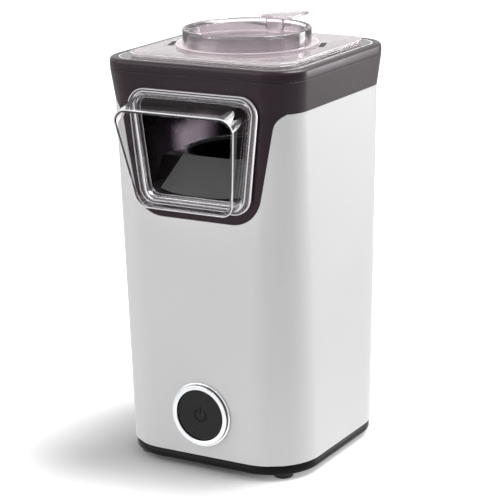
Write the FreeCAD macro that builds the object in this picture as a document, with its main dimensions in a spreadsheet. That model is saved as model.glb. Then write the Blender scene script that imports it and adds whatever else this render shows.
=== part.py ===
import FreeCAD, Part
import math
import os
import re
import Sketcher

# Hot-air popcorn maker: a square tower with a clear lid, a measuring cup, a clear chute visor and a button.
# Millimetres, +Z up, front towards -Y. The pieces are drawn about the tower's axis and then set back a
# little, so that the origin is under the middle of the whole object.

doc = FreeCAD.newDocument("popcorn_maker")
sheet = doc.addObject("Spreadsheet::Sheet", "dims")

SIZES = {
    # casing and base
    "casing_width_low": 145.0,
    "casing_width_high": 146.4,
    "casing_corner_low": 36.8,
    "casing_corner_high": 24.1,
    "casing_height": 247.6,
    "casing_wall": 2.2,
    "fit_gap": 0.3,
    "foot_height": 4.3,
    "foot_radius": 7.2,
    "foot_round": 1.2,
    "foot_offset": 18.5,
    "band_height": 7.2,
    "band_inset": 0.8,
    "band_round": 1.5,
    "floor_thickness": 2.5,
    "lip_height": 6.0,
    "lip_wall": 2.0,
    "boss_radius": 5.0,
    "boss_height": 16.0,
    "boss_web": 3.0,
    "vent_width": 3.0,
    "vent_length": 44.0,
    "vent_pitch": 7.0,
    "vents_each_side": 2,
    # screws
    "screw_radius": 1.5,
    "screw_room": 0.3,
    "screw_head_radius": 2.8,
    "screw_head_height": 1.8,
    "screw_bite": 8.0,
    # collar, bib and rim
    "collar_height": 21.5,
    "collar_width_high": 151.0,
    "collar_wall": 3.2,
    "ledge_wall": 2.5,
    "bib_half_high": 60.8,
    "bib_half_low": 46.4,
    "bib_height": 77.0,
    "bib_corner": 23.0,
    "bib_shoulder": 13.5,
    "shoulder_lift": 0.8,
    "panel_gap": 0.25,
    "rim_height": 7.7,
    "rim_round": 2.4,
    "rim_recess": 2.4,
    "rim_opening_half": 60.0,
    "rim_opening_corner": 12.0,
    "rim_lip": 5.8,
    "rim_bite": 3.4,
    "seam_groove": 0.5,
    "seam_height": 0.7,
    # popcorn outlet, visor and chute
    "outlet_rise": 6.4,
    "outlet_height": 70.6,
    "outlet_half_high": 46.6,
    "outlet_half_low": 37.7,
    "outlet_corner": 10.0,
    "flange_margin": 5.0,
    "flange_thickness": 2.2,
    "flange_corner": 13.0,
    "visor_wall": 2.2,
    "visor_reach": 27.5,
    "visor_reach_low": 13.5,
    "visor_base_rise": 3.5,
    "visor_base_drop": 2.0,
    "visor_base_spread": 1.0,
    "visor_front_drop": 5.0,
    "visor_front_low": 5.8,
    "visor_front_half_high": 47.9,
    "visor_front_half_low": 36.0,
    "visor_corner": 10.0,
    "clip_width": 8.0,
    "clip_thickness": 1.4,
    "clip_reach": 3.3,
    "clip_spread_high": 28.0,
    "clip_spread_low": 23.0,
    "deck_thickness": 2.0,
    "deck_screw_spread": 30.0,
    "duct_radius": 46.0,
    "duct_wall": 2.0,
    "spout_wall": 2.0,
    "ramp_thickness": 1.5,
    "ramp_half_low": 31.0,
    "ramp_half_high": 28.0,
    "spout_floor_rise": 1.0,
    "spout_ledge": 1.0,
    # lid and measuring cup
    "lid_corner": 18.7,
    "lid_wall": 2.2,
    "plateau_half": 62.5,
    "plateau_corner": 15.0,
    "plateau_height": 5.4,
    "plateau_round": 1.6,
    "ring_radius": 44.85,
    "ring_wall": 2.25,
    "ring_height": 12.0,
    "skirt_depth": 3.6,
    "cup_ledge": 5.0,
    "cup_ledge_thickness": 2.0,
    "cup_taper": 1.7,
    "cup_wall": 1.8,
    "cup_rim_drop": 2.5,
    "tab_half": 13.0,
    "tab_thickness": 2.4,
    "tab_tip": 73.5,
    "tab_corner": 9.0,
    "tab_neck_half": 7.0,
    "tab_neck_depth": 10.0,
    "lid_slot_radius": 52.5,
    "lid_slot_length": 13.0,
    "lid_slot_width": 3.0,
    "lid_slot_angle": 20.0,
    # popping chamber and heater
    "chamber_drop": 43.6,
    "chamber_radius": 42.5,
    "chamber_wall": 1.0,
    "chamber_depth": 76.0,
    "chamber_flange": 5.0,
    "chamber_slots": 24,
    "chamber_slot_width": 2.0,
    "chamber_slot_height": 12.0,
    "chamber_slot_rise": 5.0,
    "chamber_slot_lean": 4.0,
    "chamber_cone": 8.0,
    "chamber_cone_radius": 16.0,
    "chamber_bend": 6.0,
    "seal_thickness": 2.0,
    "seal_width": 4.0,
    "can_gap": 3.5,
    "can_wall": 0.8,
    "can_height": 107.0,
    "board_half": 34.6,
    "board_height": 22.0,
    "board_foot": 4.0,
    "board_thickness": 0.8,
    "coil_wire_radius": 0.9,
    "coil_pitch": 4.0,
    "coil_turns": 3.5,
    "thermostat_radius": 7.0,
    "thermostat_depth": 6.0,
    "thermostat_rise": 45.0,
    "bracket_half": 9.0,
    "bracket_thickness": 1.2,
    "fuse_radius": 2.0,
    "fuse_length": 12.0,
    "fuse_rise": 60.0,
    # blower and motor
    "spigot_height": 6.0,
    "spigot_wall": 2.0,
    "shoulder_width": 3.0,
    "shoulder_thickness": 2.0,
    "blower_depth": 26.0,
    "blower_floor": 2.0,
    "inlet_radius": 5.0,
    "inlet_ring": 24.0,
    "inlets": 8,
    "leg_radius": 4.5,
    "leg_offset": 31.0,
    "leg_seat_height": 3.0,
    "fan_radius": 40.0,
    "fan_blades": 12,
    "blade_inner": 14.0,
    "blade_height": 13.0,
    "blade_thickness": 1.2,
    "blade_sweep": 5.0,
    "fan_rise": 2.5,
    "fan_disc": 1.6,
    "hub_radius": 6.0,
    "shaft_radius": 1.6,
    "shaft_fit": 0.05,
    "clip_ring_height": 1.0,
    "motor_radius": 14.0,
    "motor_length": 32.0,
    "motor_wall": 1.2,
    "motor_cap": 2.5,
    "motor_screw_spread": 9.0,
    "bush_radius": 5.0,
    "bush_length": 4.0,
    "armature_radius": 9.4,
    "armature_length": 15.0,
    "armature_room": 1.5,
    "air_gap": 0.6,
    "magnet_thickness": 2.4,
    "winding_height": 2.5,
    "commutator_radius": 3.6,
    "commutator_length": 4.5,
    "brush_width": 3.0,
    "diode_radius": 1.3,
    "diode_length": 5.0,
    "rectifier_thickness": 1.6,
    # push button, switch and cord gland
    "button_rise": 31.0,
    "ring_outer": 23.3,
    "ring_proud": 3.4,
    "ring_round": 2.6,
    "button_radius": 18.2,
    "button_recess": 1.4,
    "button_edge": 0.65,
    "button_cap": 4.0,
    "button_travel": 3.0,
    "sleeve_wall": 2.0,
    "sleeve_length": 10.6,
    "nut_width": 3.0,
    "nut_thickness": 3.0,
    "stem_radius": 3.5,
    "stem_length": 5.4,
    "holder_thickness": 2.0,
    "switch_half": 9.0,
    "switch_depth": 16.0,
    "plunger_radius": 2.5,
    "plunger_length": 11.0,
    "terminal_half": 2.4,
    "terminal_thickness": 0.8,
    "terminal_length": 7.0,
    "spring_radius": 6.5,
    "spring_wire": 0.45,
    "spring_turns": 5.0,
    "mark_radius": 5.0,
    "mark_line": 1.1,
    "mark_depth": 0.3,
    "gland_rise": 20.0,
    "gland_bore": 3.6,
    "gland_mouth": 0.5,
    "gland_wall": 2.1,
    "gland_flange": 3.0,
    "gland_flange_thickness": 1.1,
    "gland_length": 10.0,
}
for row, (alias, value) in enumerate(SIZES.items(), start=1):
    sheet.set("A%d" % row, alias)
    sheet.set("B%d" % row, str(value))
    sheet.setAlias("B%d" % row, alias)
doc.recompute()

# Extra length that lets a cutting shape run clear of the piece it cuts
SPARE = "6"

# Share of a slot's width that its rounded ends take
SLOT_ROUND = "0.45"

# Levels and faces that several pieces share, as expressions of the sheet's sizes
CASING_LOW = "(foot_height + band_height)"
CASING_TOP = "(foot_height + band_height + casing_height)"
SEAM = f"({CASING_TOP} + collar_height)"
RIM_TOP = f"({SEAM} + rim_height)"
LID_SEAT = f"({RIM_TOP} - rim_recess)"
PLATEAU_TOP = f"({LID_SEAT} + plateau_height)"
RING_TOP = f"({PLATEAU_TOP} + ring_height)"
SKIRT_LOW = f"({LID_SEAT} - skirt_depth)"
CUP_SEAT = f"({SKIRT_LOW} + cup_ledge_thickness)"
FLOOR_TOP = "(foot_height + floor_thickness)"
LIP_TOP = f"({CASING_LOW} + lip_height)"
DECK_LOW = f"({SEAM} - deck_thickness)"
CHAMBER_TOP = f"({CASING_TOP} - chamber_drop)"
DUCT_LOW = f"({CHAMBER_TOP} + seal_thickness)"
CHAMBER_LOW = f"({CHAMBER_TOP} - chamber_depth)"
CAN_TOP = f"({CHAMBER_TOP} - chamber_wall)"
CAN_LOW = f"({CAN_TOP} - can_height)"
CAN_INNER = "(chamber_radius + chamber_wall + can_gap)"
CAN_OUTER = f"({CAN_INNER} + can_wall)"
SPIGOT_OUTER = f"({CAN_INNER} - fit_gap)"
SPIGOT_TOP = f"({CAN_LOW} + spigot_height)"
BLOWER_LOW = f"({CAN_LOW} - blower_depth)"
BLADE_LOW = f"({BLOWER_LOW} + blower_floor + fan_rise)"
FAN_TOP = f"({BLADE_LOW} + blade_height + fan_disc)"
MOTOR_LOW = f"({BLOWER_LOW} - motor_length)"
MOTOR_BASE = f"({MOTOR_LOW} - motor_cap)"
SHAFT_BORE = "(shaft_radius + shaft_fit)"
OUTLET_TOP = f"({CASING_TOP} + outlet_rise)"
OUTLET_LOW = f"({OUTLET_TOP} - outlet_height)"
FLARE = "((collar_width_high - casing_width_high)/2/collar_height)"
SLOPE = "((casing_width_high - casing_width_low)/2/casing_height)"
LEAN = f"abs({SLOPE})"
FRONT_HIGH = f"(casing_width_high/2 + {FLARE}*(outlet_rise + flange_margin))"
FRONT_LOW = f"(casing_width_high/2 - {SLOPE}*(outlet_height - outlet_rise + flange_margin))"
FRONT = f"max({FRONT_HIGH}, casing_width_high/2, {FRONT_LOW})"
DECK_HALF = f"(collar_width_high/2 - {FLARE}*deck_thickness)"
SETBACK = f"(({FRONT} + visor_reach - collar_width_high/2)/2)"
BUTTON_Z = f"({CASING_LOW} + button_rise)"
SLEEVE_INNER = "(button_radius + fit_gap)"
SLEEVE_OUTER = f"({SLEEVE_INNER} + sleeve_wall)"
NUT_BORE = f"({SLEEVE_OUTER} + fit_gap/2)"
NUT_RADIUS = f"({NUT_BORE} + nut_width)"
WALL_AT_BUTTON = f"(casing_width_low/2 + {SLOPE}*button_rise)"
BUTTON_FACE = f"({WALL_AT_BUTTON} + {LEAN}*ring_outer + fit_gap/2)"
CAP_FRONT = f"({BUTTON_FACE} + ring_proud - button_recess)"
CAP_BACK = f"({CAP_FRONT} - button_cap)"
SLEEVE_END = f"({WALL_AT_BUTTON} - {LEAN}*{NUT_RADIUS} - sleeve_length)"
STEM_END = f"({CAP_BACK} - stem_length)"
SWITCH_FRONT = f"({SLEEVE_END} - holder_thickness)"
SWITCH_BACK = f"({SWITCH_FRONT} - switch_depth)"
GLAND_Z = f"({CASING_LOW} + gland_rise)"
GLAND_BARREL = "(gland_bore + gland_wall)"
GLAND_RADIUS = f"({GLAND_BARREL} + gland_flange)"
WALL_AT_GLAND = f"(casing_width_low/2 + {SLOPE}*gland_rise)"
GLAND_FACE = f"({WALL_AT_GLAND} + {LEAN}*{GLAND_RADIUS} + fit_gap/2)"
LID_HALF = "(collar_width_high/2 - rim_lip - fit_gap)"
SPOUT_FRONT = f"min(casing_width_high/2 - casing_wall - 2*fit_gap, {FRONT} - clip_reach - 2*fit_gap)"
SPOUT_FLOOR_FRONT = f"({OUTLET_LOW} + spout_floor_rise)"
SPOUT_FLOOR_BACK = f"({DUCT_LOW} + spout_wall)"
SPOUT_FLOOR_EDGE = "(duct_radius + duct_wall + spout_ledge)"
ARMATURE_TOP = f"({BLOWER_LOW} - bush_length - armature_room - winding_height)"
ARMATURE_LOW = f"({ARMATURE_TOP} - armature_length)"
COMMUTATOR_TOP = f"({ARMATURE_LOW} - winding_height)"
COMMUTATOR_LOW = f"({COMMUTATOR_TOP} - commutator_length)"
LEG_SEAT = f"({FLOOR_TOP} + leg_seat_height)"
CUP_TOP_RADIUS = "(ring_radius - ring_wall - fit_gap)"
CUP_RIM = f"({RING_TOP} - cup_rim_drop)"
TAB_LOW = f"({RING_TOP} + fit_gap/2)"
SCREW_HOLE = "(screw_radius + screw_room)"
SCREW_GRIP = "(screw_radius + shaft_fit)"
HEAD_ROOM = "(screw_head_radius + screw_room)"
HEAD_SEAT = "(foot_height + screw_head_height + screw_room)"
CORNERS = [(1, 1), (-1, 1), (-1, -1), (1, -1)]
FOOT_PLACE = "(casing_width_low/2 - foot_offset)"
DECK_SCREW_X = "(rim_opening_half + screw_head_radius + screw_room)"
DECK_SCREWS = [(f"{a}*{DECK_SCREW_X}", f"{b}*deck_screw_spread") for a, b in CORNERS]

nodes = []


def bound(text):
    """The expression with every sheet size given its full name."""
    return re.sub(r"[a-z_]+", lambda word: "dims." + word[0] if word[0] in SIZES else word[0], text)


def size(text):
    """The present value of an expression of sheet sizes."""
    return float(sheet.evalExpression(bound(text)))


def point_ties(item, spot, x, y):
    """The constraints, each with its expression, that hold a sketch point at x and y."""
    ties = []
    for kind, axis, text in (("DistanceX", -2, x), ("DistanceY", -1, y)):
        value = size(text)
        if abs(value) < 1e-9:
            ties.append((Sketcher.Constraint("PointOnObject", item, spot, axis), None))
        else:
            ties.append((Sketcher.Constraint(kind, -1, 1, item, spot, value), text))
    return ties


def add_ties(sketch, ties):
    """Add constraints all at once, so that the drawn shape already meets them, and bind their sizes."""
    first = sketch.ConstraintCount
    sketch.addConstraint([constraint for constraint, text in ties])
    for place, (constraint, text) in enumerate(ties):
        if text is not None:
            sketch.setExpression("Constraints[%d]" % (first + place), bound(text))


def corner_arc(before, here, after, radius):
    """The ends of a rounded corner, its arc drawn anticlockwise, and whether it turns left."""
    to_last = (before - here).normalize()
    to_next = (after - here).normalize()
    half_turn = to_last.getAngle(to_next) / 2
    reach = radius / math.tan(half_turn)
    first = here + to_last * reach
    last = here + to_next * reach
    middle = here + (to_last + to_next).normalize() * (radius / math.sin(half_turn))
    left = to_next.cross(to_last).z > 0
    start, end = (first, last) if left else (last, first)
    angles = [math.atan2(point.y - middle.y, point.x - middle.x) for point in (start, end)]
    circle = Part.Circle(middle, FreeCAD.Vector(0, 0, 1), radius)
    return first, last, Part.ArcOfCircle(circle, angles[0], angles[1]), left


def outline(sketch, corners):
    """Draw and tie a closed outline; a corner is (x, y) or, where it is rounded, (x, y, radius)."""
    points = [FreeCAD.Vector(size(corner[0]), size(corner[1]), 0) for corner in corners]
    count = len(points)
    ends = []
    for place, corner in enumerate(corners):
        here = points[place]
        if len(corner) == 2:
            ends.append((here, here, None, True))
            continue
        after = points[(place + 1) % count]
        ends.append(corner_arc(points[place - 1], here, after, size(corner[2])))
    lines = []
    for place in range(count):
        segment = Part.LineSegment(ends[place][1], ends[(place + 1) % count][0])
        lines.append(sketch.addGeometry(segment, False))
    ties = []
    for place, corner in enumerate(corners):
        curve, left = ends[place][2:]
        before, after = lines[place - 1], lines[place]
        if curve is None:
            ties.append((Sketcher.Constraint("Coincident", before, 2, after, 1), None))
            ties += point_ties(after, 1, corner[0], corner[1])
            continue
        arc = sketch.addGeometry(curve, False)
        start, end = (1, 2) if left else (2, 1)
        mark = sketch.addGeometry(Part.Point(points[place]), True)
        ties.append((Sketcher.Constraint("Tangent", before, 2, arc, start), None))
        ties.append((Sketcher.Constraint("Tangent", arc, end, after, 1), None))
        ties.append((Sketcher.Constraint("PointOnObject", mark, 1, before), None))
        ties.append((Sketcher.Constraint("PointOnObject", mark, 1, after), None))
        ties.append((Sketcher.Constraint("Radius", arc, size(corner[2])), corner[2]))
        ties += point_ties(mark, 1, corner[0], corner[1])
    add_ties(sketch, ties)


def origin_feature(item, role):
    return next(feature for feature in item.Origin.OriginFeatures if feature.Role == role)


def new_body(name):
    return doc.addObject("PartDesign::Body", name)


def new_sketch(item, role, offset):
    """A sketch on one of the body's own origin planes, moved along the plane's normal."""
    sketch = item.newObject("Sketcher::SketchObject", item.Name + "_sketch")
    sketch.AttachmentSupport = [(origin_feature(item, role), "")]
    sketch.MapMode = "FlatFace"
    sketch.setExpression("AttachmentOffset.Base.z", bound(offset))
    return sketch


def add_pad(item, role, low, high, corners):
    sketch = new_sketch(item, role, low)
    outline(sketch, corners)
    pad = item.newObject("PartDesign::Pad", item.Name + "_pad")
    pad.Profile = sketch
    pad.setExpression("Length", bound(f"({high}) - ({low})"))
    return pad


def add_pocket(item, role, low, high, corners):
    """A pocket between two distances along the plane's normal."""
    sketch = new_sketch(item, role, high)
    outline(sketch, corners)
    pocket = item.newObject("PartDesign::Pocket", item.Name + "_pocket")
    pocket.Profile = sketch
    pocket.setExpression("Length", bound(f"({high}) - ({low})"))
    return pocket


def repeat_around(item, feature, count):
    """Repeat a feature of the body round the Z axis."""
    pattern = item.newObject("PartDesign::PolarPattern", item.Name + "_ring")
    pattern.Originals = [feature]
    pattern.Axis = (origin_feature(item, "Z_Axis"), [""])
    pattern.Angle = 360
    pattern.setExpression("Occurrences", bound(count))
    item.Tip = pattern


def round_level(item, level, radius):
    """Fillet every edge of the body that lies at one height."""
    doc.recompute()
    height = size(level)
    base = item.Tip
    edges = []
    for place, edge in enumerate(base.Shape.Edges, start=1):
        box = edge.BoundBox
        if abs(box.ZMin - height) < 1e-4 and abs(box.ZMax - height) < 1e-4:
            edges.append("Edge%d" % place)
    fillet = item.newObject("PartDesign::Fillet", item.Name + "_fillet")
    fillet.Base = (base, edges)
    fillet.setExpression("Radius", bound(radius))


def prism(name, role, low, high, corners):
    item = new_body(name)
    add_pad(item, role, low, high, corners)
    return item


def turned(name, role, offset, corners):
    """A body turned about its sketch's upright axis; corners are (radius, distance along the axis)."""
    item = new_body(name)
    sketch = new_sketch(item, role, offset)
    outline(sketch, corners)
    turn = item.newObject("PartDesign::Revolution", name + "_turn")
    turn.Profile = sketch
    turn.ReferenceAxis = (sketch, ["V_Axis"])
    turn.Angle = 360
    return item


def loft(name, role, sections):
    """A straight-sided loft through outlines, each given with its distance along the plane's normal."""
    item = new_body(name)
    sketches = []
    for offset, corners in sections:
        sketch = new_sketch(item, role, offset)
        outline(sketch, corners)
        sketches.append(sketch)
    solid = item.newObject("PartDesign::AdditiveLoft", name + "_loft")
    solid.Profile = sketches[0]
    solid.Sections = sketches[1:]
    solid.Ruled = True
    return item


def set_place(item, x, y, z, rotation=None):
    item.Placement = FreeCAD.Placement(FreeCAD.Vector(), rotation or FreeCAD.Rotation())
    for letter, text in (("x", x), ("y", y), ("z", z)):
        item.setExpression("Placement.Base." + letter, bound(text))


def rod(name, radius, low, high, x="0", y="0", axis="z"):
    """A cylinder between two distances along an axis; x and y are its place across that axis."""
    item = doc.addObject("Part::Cylinder", name)
    item.setExpression("Radius", bound(radius))
    item.setExpression("Height", bound(f"({high}) - ({low})"))
    if axis == "z":
        set_place(item, x, y, low)
    elif axis == "y":
        set_place(item, x, low, y, FreeCAD.Rotation(FreeCAD.Vector(1, 0, 0), -90))
    else:
        set_place(item, low, x, y, FreeCAD.Rotation(FreeCAD.Vector(0, 1, 0), 90))
    return item


def block(name, x, y, z):
    """A box; x, y and z are pairs of a low and a high expression."""
    item = doc.addObject("Part::Box", name)
    for key, (low, high) in zip(("Length", "Width", "Height"), (x, y, z)):
        item.setExpression(key, bound(f"({high}) - ({low})"))
    set_place(item, x[0], y[0], z[0])
    return item


def fuse(name, *items):
    result = doc.addObject("Part::MultiFuse", name)
    result.Shapes = list(items)
    return result


def cut(name, base, *tools):
    result = doc.addObject("Part::Cut", name)
    result.Base = base
    result.Tool = tools[0] if len(tools) == 1 else fuse(name + "_tools", *tools)
    return result


def common(name, first, second):
    result = doc.addObject("Part::Common", name)
    result.Base = first
    result.Tool = second
    return result


def group(name, items):
    result = doc.addObject("Part::Compound", name)
    result.Links = list(items)
    return result


def node(label, item, x="0", y="0", z="0"):
    """Name a finished sub-part and set it in the object's frame."""
    item.Label = label
    set_place(item, x, f"({y}) + {SETBACK}", z)
    nodes.append(item)


def square(half, corner):
    """The corners of a rounded square about the axis."""
    return [(f"{a}*({half})", f"{b}*({half})", corner) for a, b in CORNERS]


def ring_profile(inner, outer, low, high):
    return [(inner, low), (outer, low), (outer, high), (inner, high)]


def outlet_outline(grow, corner):
    """The popcorn outlet's outline on the front, grown evenly."""
    top = f"{OUTLET_TOP} + ({grow})"
    low = f"{OUTLET_LOW} - ({grow})"
    high_half = f"(outlet_half_high + ({grow}))"
    low_half = f"(outlet_half_low + ({grow}))"
    return [
        (f"-{low_half}", low, corner),
        (low_half, low, corner),
        (high_half, top, corner),
        (f"-{high_half}", top, corner),
    ]


def bib_outline(grow):
    """The outline of the bib that hangs from the collar over the front of the casing."""
    side = f"(collar_width_high/2 + {SPARE})"
    top = f"{CASING_TOP} + shoulder_lift"
    high_half = f"(bib_half_high + {grow})"
    low_half = f"(bib_half_low + {grow})"
    low = f"{CASING_TOP} - bib_height - {grow}"
    shoulder = f"(bib_shoulder - {grow})"
    corner = f"(bib_corner + {grow})"
    return [
        (f"-{side}", top),
        (f"-{high_half}", top, shoulder),
        (f"-{low_half}", low, corner),
        (low_half, low, corner),
        (high_half, top, shoulder),
        (side, top),
        (side, SEAM),
        (f"-{side}", SEAM),
    ]


def bib_prism(name, grow):
    return prism(name, "XZ_Plane", "duct_radius", f"{FRONT} + {SPARE}", bib_outline(grow))


def clip_boxes(name, grow, back, front):
    """The four clip tongues of the visor, or with room the slots that take them."""
    boxes = []
    half = f"(clip_width/2 + {grow})"
    thick = f"(clip_thickness/2 + {grow})"
    rows = (
        ("clip_spread_high", f"{OUTLET_TOP} + flange_margin/2"),
        ("clip_spread_low", f"{OUTLET_LOW} - flange_margin/2"),
    )
    for spread, level in rows:
        for side in (1, -1):
            middle = f"{side}*{spread}"
            x = (f"{middle} - {half}", f"{middle} + {half}")
            z = (f"{level} - {thick}", f"{level} + {thick}")
            boxes.append(block(name, x, (f"-({front})", f"-({back})"), z))
    return boxes


def corner_places(offset):
    return [(f"{a}*{offset}", f"{b}*{offset}") for a, b in CORNERS]


# White sleeve with screw bosses, a notch for the bib, the button hole and the cord's hole
def make_casing():
    outer = loft("casing_outer", "XY_Plane", [
        (CASING_LOW, square("casing_width_low/2", "casing_corner_low")),
        (CASING_TOP, square("casing_width_high/2", "casing_corner_high")),
    ])
    inner = loft("casing_inner", "XY_Plane", [
        (CASING_LOW, square("casing_width_low/2 - casing_wall", "casing_corner_low - casing_wall")),
        (CASING_TOP, square("casing_width_high/2 - casing_wall", "casing_corner_high - casing_wall")),
    ])
    sleeve = cut("casing_sleeve", outer, inner)
    boss_top = f"{LIP_TOP} + boss_height"
    corner_middle = "(casing_width_low/2 - casing_corner_low)"
    wall_middle = "(casing_corner_low - casing_wall/2)"
    web_reach = f"({wall_middle} - ({FOOT_PLACE} - {corner_middle})*sqrt(2))"
    solids = [sleeve]
    holes = []
    for a, b in CORNERS:
        x, y = f"{a}*{FOOT_PLACE}", f"{b}*{FOOT_PLACE}"
        solids.append(rod("casing_boss", "boss_radius", LIP_TOP, boss_top, x, y))
        holes.append(rod("casing_boss_hole", SCREW_GRIP, LIP_TOP, f"{LIP_TOP} + screw_bite", x, y))
        far_a = f"{FOOT_PLACE} + ({web_reach} + boss_web/2)/sqrt(2)"
        far_b = f"{FOOT_PLACE} + ({web_reach} - boss_web/2)/sqrt(2)"
        near_a = f"{FOOT_PLACE} + boss_web/2/sqrt(2)"
        near_b = f"{FOOT_PLACE} - boss_web/2/sqrt(2)"
        web = [(near_a, near_b), (far_a, far_b), (far_b, far_a), (near_b, near_a)]
        web = [(f"{a}*({p})", f"{b}*({q})") for p, q in web]
        solids.append(prism("casing_web", "XY_Plane", LIP_TOP, boss_top, web))
    depth = f"(casing_wall + {SPARE})"
    holes.append(rod("button_hole", f"{SLEEVE_OUTER} + fit_gap", f"-({BUTTON_FACE} + {depth})",
                     f"-({BUTTON_FACE} - {depth})", "0", BUTTON_Z, "y"))
    holes.append(rod("gland_hole", f"{GLAND_BARREL} + fit_gap", f"{GLAND_FACE} - {depth}",
                     f"{GLAND_FACE} + {depth}", "0", GLAND_Z, "y"))
    holes.append(bib_prism("bib_notch", "panel_gap"))
    node("outer_casing", cut("casing", fuse("casing_solids", *solids), *holes))
    return sleeve


# Black collar ring, the bib over the front, and the ledge that carries the chute's deck
def make_collar(sleeve):
    ring = cut(
        "collar_ring",
        loft("collar_outer", "XY_Plane", [
            (CASING_TOP, square("casing_width_high/2", "casing_corner_high")),
            (SEAM, square("collar_width_high/2", "casing_corner_high")),
        ]),
        loft("collar_inner", "XY_Plane", [
            (CASING_TOP, square("casing_width_high/2 - collar_wall", "casing_corner_high - collar_wall")),
            (SEAM, square("collar_width_high/2 - collar_wall", "casing_corner_high - collar_wall")),
        ]),
    )
    inset = f"(casing_wall + fit_gap + {LEAN}*{SPARE})"
    low = f"{CASING_TOP} - {SPARE}"
    ledge = []
    for depth in (inset, f"({inset} + ledge_wall)"):
        below, above = (square(f"{half} - {depth}", f"casing_corner_high - {depth}")
                        for half in ("casing_width_high/2", DECK_HALF))
        ledge.append(fuse("ledge_block", prism("ledge_low", "XY_Plane", low, CASING_TOP, below),
                          loft("ledge_high", "XY_Plane", [(CASING_TOP, below), (DECK_LOW, above)])))
    bib = common("collar_bib", sleeve, bib_prism("bib_body", "0"))
    back = "casing_width_high/2 - casing_wall - fit_gap/2"
    seat = prism("flange_seat", "XZ_Plane", back, f"{FRONT} - shaft_fit",
                 outlet_outline("flange_margin", "flange_corner"))
    opening = prism("outlet_hole", "XZ_Plane", "duct_radius", f"{FRONT} + {SPARE}",
                    outlet_outline("0", "outlet_corner"))
    spout_room = prism("spout_room", "XZ_Plane", "duct_radius", back,
                       outlet_outline("spout_wall + fit_gap", "(outlet_corner + spout_wall + fit_gap)"))
    slots = clip_boxes("clip_slot", "fit_gap", f"{FRONT} - collar_wall - {SPARE}",
                       f"{FRONT} + {SPARE}")
    solids = fuse("collar_solids", ring, cut("collar_ledge", *ledge), bib, seat)
    node("top_collar", cut("collar", solids, opening, spout_room, *slots))


# Black frame above the seam, with the recess that the lid lies in
def make_rim():
    neck_top = f"{SEAM} + seam_height"
    body = prism("rim_body", "XY_Plane", neck_top, RIM_TOP,
                 square("collar_width_high/2", "casing_corner_high"))
    round_level(body, RIM_TOP, "rim_round")
    neck = prism("rim_neck", "XY_Plane", SEAM, neck_top,
                 square("collar_width_high/2 - seam_groove", "casing_corner_high - seam_groove"))
    recess = prism("rim_recess_body", "XY_Plane", LID_SEAT, f"{RIM_TOP} + rim_height",
                   square(f"{LID_HALF} + fit_gap", "lid_corner + fit_gap"))
    opening = prism("rim_opening", "XY_Plane", f"{SEAM} - rim_height", f"{RIM_TOP} + rim_height",
                    square("rim_opening_half", "rim_opening_corner"))
    holes = [rod("rim_screw_hole", SCREW_GRIP, SEAM, f"{SEAM} + rim_bite", x, y) for x, y in DECK_SCREWS]
    node("top_rim", cut("rim", fuse("rim_solids", body, neck), recess, opening, *holes))


# Black tray that closes the bottom: a band that shows, a lip inside the casing, pillars and vents
def make_base():
    band = prism("base_band", "XY_Plane", "foot_height", CASING_LOW,
                 square("casing_width_low/2 - band_inset", "casing_corner_low - band_inset"))
    round_level(band, "foot_height", "band_round")
    inset = "(casing_wall + fit_gap)"
    lip = prism("base_lip", "XY_Plane", "foot_height + band_round", LIP_TOP,
                square(f"casing_width_low/2 - {inset}", f"casing_corner_low - {inset}"))
    hollow = prism("base_hollow", "XY_Plane", FLOOR_TOP, f"{LIP_TOP} + {SPARE}",
                   square(f"casing_width_low/2 - {inset} - lip_wall",
                          f"casing_corner_low - {inset} - lip_wall"))
    solids = [cut("base_shell", fuse("base_solids", band, lip), hollow)]
    holes = []
    for x, y in corner_places(FOOT_PLACE):
        solids.append(rod("base_pillar", "boss_radius", "foot_height", LIP_TOP, x, y))
        holes.append(rod("pillar_hole", SCREW_HOLE, "0", f"{LIP_TOP} + {SPARE}", x, y))
        holes.append(rod("pillar_counterbore", HEAD_ROOM, "0", HEAD_SEAT, x, y))
    for x, y in corner_places("leg_offset"):
        solids.append(rod("leg_seat", "leg_radius + lip_wall", "foot_height", LEG_SEAT, x, y))
        holes.append(rod("leg_hole", SCREW_HOLE, "0", f"{LEG_SEAT} + {SPARE}", x, y))
        holes.append(rod("leg_counterbore", HEAD_ROOM, "0", HEAD_SEAT, x, y))
    each_side = int(size("vents_each_side"))
    for step in range(-each_side, each_side + 1):
        middle = f"{step}*vent_pitch"
        low, high = f"{middle} - vent_width/2", f"{middle} + vent_width/2"
        corner = f"vent_width*{SLOT_ROUND}"
        vent = [
            (low, "-vent_length/2", corner),
            (high, "-vent_length/2", corner),
            (high, "vent_length/2", corner),
            (low, "vent_length/2", corner),
        ]
        holes.append(prism("base_vent", "XY_Plane", "0", f"{FLOOR_TOP} + {SPARE}", vent))
    node("base_tray", cut("base", fuse("base_with_pillars", *solids), *holes))


# Round rubber feet under the corners, which cover the casing screws
def make_feet():
    names = ("back_right", "back_left", "front_left", "front_right")
    for name, (x, y) in zip(names, corner_places(FOOT_PLACE)):
        foot = turned("foot", "XZ_Plane", "0", [
            ("0", "0"),
            ("foot_radius", "0", "foot_round"),
            ("foot_radius", "foot_height"),
            ("0", "foot_height"),
        ])
        node("foot_" + name, foot, x, y)


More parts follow.
